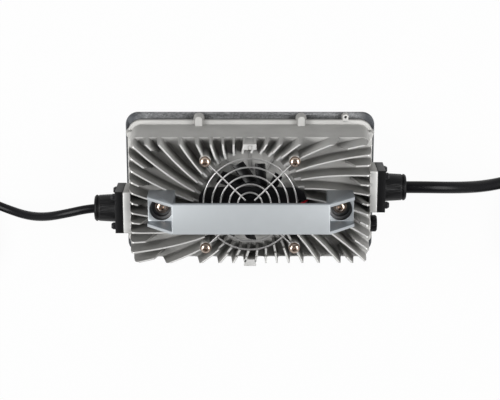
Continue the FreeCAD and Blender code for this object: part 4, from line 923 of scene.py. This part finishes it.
def castDetails():
    half = posts["guardPitch"] / 2
    pieces = [castPost(posts["guardRadius"], levels["tip"], (x, y)) for x in (-half, half) for y in (-half, half)]
    pieces += [castPost(posts["handleRadius"], levels["tip"], place) for place in posts["handleCentres"]]
    pieces += [castPost(posts["fanRadius"], levels["step"], place) for place in posts["fanCentres"]]
    boss = draftedBoss(rimBoss["root"], rimBoss["tip"], rimBoss["reach"], rimBoss["low"], rimBoss["high"])
    pieces.append(copiesAt("rimBosses", boss, rimBossPlaces(), materials["cast_aluminium"]))
    pieces.append(wellRibs())
    for turn in (180.0, 0.0):
        # thick pad behind each gland
        inner = wallAt(levels["deck"])[0] - glandPad["sunk"]
        outer, corner, edge = (glandPad[name] for name in ("face", "corner", "edge"))
        pad = roundedBlock("glandPad", *glandPad["half"], inner, outer, corner, edge)
        placedAt(pad, (0.0, glandPad["offset"], glandPad["level"]), 90.0, "Y")
        pieces.append(placedAt(pad, (0.0, 0.0, 0.0), turn))
    return pieces + smallForms()


def smallForms():
    # web between the middle fins with its ejector boss, lower block, earth lug and vent pad
    deck, tip, rim = (levels[name] for name in ("deck", "tip", "rim"))
    edge = wallAt(tip)[1]
    middle = (0.0, edge - web["middle"], 0.0)
    centre = (0.0, edge - web["half"][1])
    bridge = roundedBlock("web", *web["half"], deck - past, tip - web["low"], web["corner"], web["edge"], centre, 3)
    hollow = lathed("webHollow", [(web["hollow"][0], tip - web["depth"]), (web["hollow"][1], tip + past)], 32)
    bridge = cut(bridge, placedAt(hollow, middle))
    boss = lathed("webBoss", [(radius, tip + drop) for radius, drop in web["boss"]], 32)
    centre = (0.0, -wallAt(fins["loweredTo"])[1] - lowBlock["out"])
    block = roundedBlock(
        "lowerBlock", *lowBlock["half"], lowBlock["under"], fins["loweredTo"],
        lowBlock["corner"], lowBlock["edge"], centre, 3,
    )
    ear = draftedBoss(lug["root"], lug["tip"], lug["reach"], levels["under"], rim, lug["lip"])
    hole = lathed("lugHole", [(lug["hole"], rim - lug["depth"]), (lug["hole"], rim + past)], 32)
    pad = placedAt(lathed("ventPad", ventPad["profile"]), ventPad["place"], 90.0, "Y")
    return [bridge, placedAt(boss, middle), block, placedAt(cut(ear, hole), lug["place"]), pad]


inPlaces = copyTree()
castHousing = joined("castHousing", [castShell()] + makeFins() + castDetails())
settled(castHousing, "cast_aluminium", "case", "housing")
print("casting made", len(castHousing.data.polygons))


# Wire guard, screws and washers

guard = {
    "ringCount": 5, "innerRadius": 9.8, "spacing": 6.9, "wire": 0.7,
    "ringLevel": 69.6, "spokeLevel": 70.61, "spokeStart": 5.0, "eyeRadius": 3.0,
    "spokes": 4, "ringSteps": 120, "eyeSteps": 32, "wireSteps": 14,
}


def guardSizes():
    return {
        "Ring Count": guard["ringCount"], "Inner Radius": guard["innerRadius"] * mm,
        "Ring Spacing": guard["spacing"] * mm, "Wire Radius": guard["wire"] * mm,
        "Ring Level": guard["ringLevel"] * mm, "Spoke Level": guard["spokeLevel"] * mm,
        "Spoke Start": guard["spokeStart"] * mm, "Eye Distance": posts["guardPitch"] / math.sqrt(2) * mm,
        "Eye Radius": guard["eyeRadius"] * mm, "Wire": materials["guard_wire"],
    }


def guardTree():
    tree, graph, size = growthTree("wireGuard", guardSizes())
    number = graph.flow("GeometryNodeInputIndex")

    def circle(steps, radius):
        return graph.flow("GeometryNodeCurvePrimitiveCircle", None, {"Resolution": steps, "Radius": radius})

    def copied(count, piece, **sockets):
        return graph.flow("GeometryNodeRealizeInstances", None, {0: graph.copies(graph.row(count), piece, **sockets)})

    def moved(piece, x, z):
        return graph.flow("GeometryNodeSetPosition", None, {"Geometry": piece, "Offset": graph.join(x, 0.0, z)})

    radius = size["Inner Radius"] + size["Ring Spacing"] * number
    rings = copied(size["Ring Count"], circle(guard["ringSteps"], 1.0), Scale=graph.join(radius, radius, 1.0))
    spoke = graph.flow("GeometryNodeCurvePrimitiveLine", None, {
        "Start": graph.join(size["Spoke Start"], 0.0, size["Spoke Level"]),
        "End": graph.join(size["Eye Distance"] - size["Eye Radius"], 0.0, size["Spoke Level"]),
    })
    eye = moved(circle(guard["eyeSteps"], size["Eye Radius"]), size["Eye Distance"], size["Spoke Level"])
    arm = graph.flow("GeometryNodeJoinGeometry", None, {0: [eye, spoke]})
    turn = graph.join(0.0, 0.0, (number * 2.0 + 1.0) * (math.pi / guard["spokes"]))
    wires = [copied(guard["spokes"], arm, Rotation=turn), moved(rings, 0.0, size["Ring Level"])]
    tubes = graph.flow("GeometryNodeCurveToMesh", None, {
        "Curve": graph.flow("GeometryNodeJoinGeometry", None, {0: wires}),
        "Profile Curve": circle(guard["wireSteps"], size["Wire Radius"]), "Fill Caps": True,
    })
    closeTree(graph, tubes, size["Wire"])
    return tree


def makeGuard():
    made = grown("wireGuard", meshObject("guardSeed", [(0, 0, 0)], []), guardTree(), guardSizes())
    return settled(made, "guard_wire", "case", "fan_guard")


screwForm = {
    # shares of the head's radius and height, and of the shank's radius
    "seat": 0.9, "rimLow": 0.1, "rimHigh": 0.42, "dome": 0.75, "flat": 0.12, "domeSteps": 8,
    "tip": 0.7, "taper": 0.4, "pitRadius": 0.78, "pitDepth": 0.62,
    "arm": ((0.62, -0.15), (0.62, 0.15), (0.25, 0.25)), "pitEntry": (0.4, 1.12), "pitSides": 0.25, "pitFloor": 0.5,
}


def crossPit(radius, top, depth):
    # tapered cross recess with a round middle
    over, wide = screwForm["pitEntry"]
    rings = []
    for level, scale in (
        (top + over, wide), (top - depth * screwForm["pitSides"], 1.0), (top - depth, screwForm["pitFloor"]),
    ):
        ring = []
        for quarter in range(4):
            for x, y in screwForm["arm"]:
                angle = math.pi / 2 * quarter
                px = radius * scale * (x * math.cos(angle) - y * math.sin(angle))
                py = radius * scale * (x * math.sin(angle) + y * math.cos(angle))
                ring.append((px, py, level))
        rings.append(ring)
    return lofted("crossPit", rings)


def panScrew(radius, height, shank, length):
    # underside of the head at Z = 0, flat rim, domed top, crossed recess
    form, rim, steps = screwForm, screwForm["rimHigh"], screwForm["domeSteps"]
    profile = [(shank * form["tip"], -length), (shank, -length + shank * form["taper"]), (shank, 0.0)]
    profile += [(radius * form["seat"], 0.0), (radius, height * form["rimLow"]), (radius, height * rim)]
    for index in range(1, steps):
        angle = math.radians(90 * index / steps)
        profile.append((radius * math.cos(angle) ** form["dome"], height * (rim + (1 - rim) * math.sin(angle))))
    profile.append((radius * form["flat"], height))
    pit = crossPit(radius * form["pitRadius"], height, height * form["pitDepth"])
    return cut(lathed("panScrew", profile, 40), pit)


def washer(outer, inner, low, high, edge=0.15):
    return lathedLoop("washer", [
        (inner, low), (outer - edge, low), (outer, low + edge), (outer, high - edge),
        (outer - edge, high), (inner + edge, high), (inner, high - edge),
    ])


fixings = {
    "guard": {"radius": 3.8, "height": 3.2, "shank": 2.0, "length": 12.0, "under": 72.01,
              "washer": (4.5, 2.3, 71.21, 72.01), "turns": (20, 45, 70, 95)},
    "handle": {"radius": 4.3, "height": 3.4, "shank": 2.5, "length": 18.0, "under": 76.5,
               "washer": (5.6, 2.8, 74.0, 75.2), "turns": (30, 60)},
}


def makeFixings():
    half = posts["guardPitch"] / 2
    spots = {"guard": [(x, y) for x in (-half, half) for y in (-half, half)], "handle": posts["handleCentres"]}
    for kind, sizes in fixings.items():
        screw = panScrew(sizes["radius"], sizes["height"], sizes["shank"], sizes["length"])
        turned = [(x, y, sizes["under"], turn) for (x, y), turn in zip(spots[kind], sizes["turns"])]
        flat = [(x, y, 0.0, 0.0) for x, y in spots[kind]]
        for label, piece, places in (("Screws", screw, turned), ("Washers", washer(*sizes["washer"]), flat)):
            made = copiesAt(kind + label, piece, places, materials["nickel_screw"])
            settled(made, "nickel_screw", "case", kind + "_" + label.lower())


# Pieces that keep their CAD form with rounded edges

edgeRounding = {
    # width everywhere, and (least length, width, lowest level) of a larger rounding on long edges
    "handle": (0.35, (100.0, 1.3, 112.0)), "ac_gland_body": (0.3, (25.0, 0.9, 0.0)),
    "dc_gland_body": (0.3, (25.0, 0.9, 0.0)), "fan_bar": (0.3, None), "base_plate": (0.2, None),
    "ac_plug": (0.3, None), "dc_connector": (0.35, None), "breather_vent": (0.2, None),
}
gland = {"offset": 8.7, "height": 48.0, "grooveAt": 122.9, "groove": (10.15, 12.6, 0.35)}


def glandGroove(side):
    # narrow ring that is cut into the barrel behind its lip
    inner, outer, half = gland["groove"]
    ring = lathedLoop("grooveRing", [(inner, -half), (outer, -half * 2.5), (outer, half * 2.5), (inner, half)], 64)
    return placedAt(ring, (side * gland["grooveAt"], side * gland["offset"], gland["height"]), 90.0, "Y")


def makeSoftPieces():
    slots = {part["node"]: part["material_slot"] for part in frame["record"]["subparts"]}
    made = {}
    for nodeName, (width, longRounding) in edgeRounding.items():
        piece = softened(nodeName, width, longRounding=longRounding)
        if "gland" in nodeName:
            piece = cut(piece, glandGroove(-1 if nodeName.startswith("ac") else 1))
        made[nodeName] = settled(piece, slots[nodeName], "case", nodeName)
    return made


# Fan wheel: open hub with swept paddles

wheel = {
    "radius": 31.9, "hub": 16.5, "hubInside": 15.2, "hubEdge": 0.4, "shaft": 1.52, "bottom": 51.89, "top": 62.39,
    "floor": 1.6, "blades": 11, "firstAngle": 127.0, "across": 9.89, "width": 7.6, "rise": 9.2,
    "thickness": 1.2, "cup": 1.1, "lip": 0.3, "root": 15.6, "rootReach": 15.0, "steps": 8,
}


def paddle():
    # pitched and cupped, its outer end following the circle of the wheel
    half, rise = wheel["width"] / 2, wheel["rise"] / 2
    pitch = math.atan2(rise, half)
    off = Vector((0.0, -math.sin(pitch), math.cos(pitch)))
    middle = (wheel["bottom"] + wheel["top"]) / 2
    steps = wheel["steps"]
    section = []
    for side, order in ((0.0, range(steps + 1)), (1.0, range(steps, -1, -1))):
        for index in order:
            share = 2 * index / steps - 1
            edge = wheel["lip"] * (abs(share) == 1) * (0.5 - side)
            raised = wheel["cup"] * (1 - share * share) + side * wheel["thickness"] + edge
            point = Vector((0.0, half * share, rise * share)) + off * raised
            section.append((point.y - wheel["across"], point.z + middle))
    rings = []
    for index in range(steps + 1):
        ring = []
        for y, z in section:
            start = math.sqrt(wheel["root"] ** 2 - min(abs(y), wheel["rootReach"]) ** 2)
            end = math.sqrt(wheel["radius"] ** 2 - y * y)
            ring.append((start + (end - start) * index / steps, y, z))
        rings.append(ring)
    return lofted("paddle", rings)


def makeWheel():
    bottom, top, hub, inside = (wheel[name] for name in ("bottom", "top", "hub", "hubInside"))
    edge, floor = wheel["hubEdge"], wheel["bottom"] + wheel["floor"]
    cup = lathedLoop("hub", [
        (wheel["shaft"], bottom), (hub - edge, bottom), (hub, bottom + edge), (hub, top - edge),
        (hub - edge, top), (inside, top), (inside, floor), (wheel["shaft"], floor),
    ], 96)
    blades = ringOf("paddles", paddle(), wheel["blades"], wheel["firstAngle"], materials["fan_black"])
    settled(joined("fanWheel", [cup, blades]), "fan_black", "impeller", "fan_impeller")


makeGuard()
makeFixings()
softPieces = makeSoftPieces()
makeWheel()
print("guard, screws, soft pieces and wheel made")


# Leads and the ties round their coils

leads = {
    "mains": {
        "diameter": 7.3,
        "route": (
            (-115.0, -8.7, 48.0), (-128.5, -8.7, 48.0), (-151.0, -14.9, 43.8), (-169.0, -20.8, 33.2),
            (-186.0, -23.4, 20.2), (-204.0, -21.0, 8.8), (-222.5, -14.8, 4.0), (-243.3, -2.6, 3.65),
        ),
        "coilCentre": (-267.0, -43.6), "coilRadius": 40.0, "lanes": 3, "layers": 2,
        "spin": 1, "startAngle": 60.0, "endAngle": 30.0, "tieAngle": 200.0,
        "tail": (
            (-226.0, -19.9, 10.95), (-233.0, -7.8, 11.3), (-243.5, 5.6, 11.3),
            (-257.6, 15.1, 11.1), (-273.0, 19.2, 11.0), (-287.0, 19.2, 11.0),
        ),
        "nodes": ("ac_cord", "ac_cord_coil", "ac_cord_tail"),
        "farEnd": "plug", "end": ("ac_plug", "ac_plug_pins", "ac_plug_earth"),
    },
    "battery": {
        "diameter": 9.9,
        "route": (
            (115.0, 8.7, 48.0), (138.0, 8.7, 48.0), (158.0, 7.2, 43.6), (177.0, 4.6, 33.4),
            (195.0, 2.4, 20.4), (213.0, 2.8, 9.9), (231.0, 6.8, 5.1), (248.6, 15.1, 4.95),
        ),
        "coilCentre": (276.3, -32.9), "coilRadius": 50.5, "lanes": 2, "layers": 2,
        "spin": -1, "startAngle": 120.0, "endAngle": 150.0, "tieAngle": 330.0,
        "tail": (
            (228.3, -5.2, 14.85), (238.3, 12.1, 15.2), (250.6, 27.0, 14.4),
            (267.0, 38.4, 11.6), (285.5, 44.6, 8.6), (303.5, 44.9, 8.0),
        ),
        "nodes": ("dc_cord", "dc_cord_coil", "dc_cord_tail"),
        "farEnd": "connector", "end": ("dc_connector", "dc_contacts"),
    },
}
coil = {"steps": 24, "shiftSteps": 4}
tie = {
    "thickness": 1.0, "width": 13.0, "corner": 0.4, "cornerMost": 0.95, "gap": 0.05,
    "endHalf": 9.0, "endNarrower": 1.0, "endCorner": 2.0, "endEdge": 0.3, "endShift": 1.0,
}


def coilTurns(lead):
    # turns laid from the outside in on the floor, then from the inside out on top of them
    width = lead["diameter"]
    lanes = []
    for layer in range(lead["layers"]):
        order = range(lead["lanes"]) if layer % 2 == 0 else reversed(range(lead["lanes"]))
        for lane in order:
            radius = lead["coilRadius"] + (lead["lanes"] - 1 - 2 * lane) * width / 2
            lanes.append((radius, (layer + 0.5) * width))
    steps, shiftSteps = coil["steps"], coil["shiftSteps"]
    spare = (lead["endAngle"] - lead["startAngle"]) * lead["spin"] % 360.0
    total = (len(lanes) - 1) * steps + round(spare / 360.0 * steps)
    points = []
    for index in range(1, total):
        turn, share = divmod(index, steps)
        radius, height = lanes[turn]
        if turn + 1 < len(lanes) and share > steps - shiftSteps:
            blend = (share - steps + shiftSteps) / shiftSteps
            radius += (lanes[turn + 1][0] - radius) * blend
            height += (lanes[turn + 1][1] - height) * blend
        angle = math.radians(lead["startAngle"] + lead["spin"] * 360.0 * index / steps)
        x = lead["coilCentre"][0] + radius * math.cos(angle)
        y = lead["coilCentre"][1] + radius * math.sin(angle)
        points.append((x, y, height))
    return points


def makeCord(name, lead):
    # one smooth spline from the gland through the coil to what is on its end
    points = list(lead["route"]) + coilTurns(lead) + list(lead["tail"])
    curve = bpy.data.curves.new(name, "CURVE")
    curve.dimensions = "3D"
    curve.bevel_depth = lead["diameter"] * mm / 2
    curve.bevel_resolution = 5
    curve.resolution_u = 6
    curve.use_fill_caps = True
    spline = curve.splines.new("NURBS")
    spline.points.add(len(points) - 1)
    for spot, place in zip(spline.points, points):
        spot.co = (*(Vector(place) * mm), 1.0)
    spline.order_u = 3
    spline.use_endpoint_u = True
    curve.materials.append(materials["lead_sheath"])
    length = sum((Vector(a) - Vector(b)).length for a, b in zip(points, points[1:])) * mm
    return newObject(name, curve), length


def tieSection(lead, out, low, high):
    # outline round the turns of a coil, seen along them
    width = lead["diameter"]
    half, middle, tall = lead["lanes"] * width / 2 + out, (low + high) / 2, (high - low) / 2
    corner = min(width * tie["corner"] + out, tall * tie["cornerMost"], half * tie["cornerMost"])
    return [(lead["coilRadius"] + x, middle + y) for x, y, _ in roundedOutline(half, tall, corner, 0.0, 6)]


def makeTie(name, lead):
    # flat strap round the turns of a coil, with its loose end lying on top
    high = lead["layers"] * lead["diameter"]
    thick, side = tie["thickness"], tie["width"] / 2
    inner = tieSection(lead, 0.0, tie["gap"], high)
    outer = tieSection(lead, thick, 0.0, high + thick)
    rings = []
    for (x, z), (farX, farZ) in zip(inner, outer):
        rings.append([(x, -side, z), (farX, -side, farZ), (farX, side, farZ), (x, side, z)])
    end = roundedBlock(
        name + "End", tie["endHalf"], side - tie["endNarrower"], high + thick, high + 2 * thick,
        tie["endCorner"], tie["endEdge"], (lead["coilRadius"] - tie["endShift"], 0.0),
    )
    strap = joined(name, [lofted(name, rings, True), end])
    placedAt(strap, (*lead["coilCentre"], 0.0), lead["tieAngle"])
    return settled(strap, "black_rubber", "case")


def makeLead(kind, lead):
    cord, length = makeCord(kind + "Lead", lead)
    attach(cord, "case")
    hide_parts(*lead["nodes"])
    print(kind, "lead made", round(length, 3))


straps = {kind: makeTie(kind + "Tie", lead) for kind, lead in leads.items()}
for kind, lead in leads.items():
    makeLead(kind, lead)
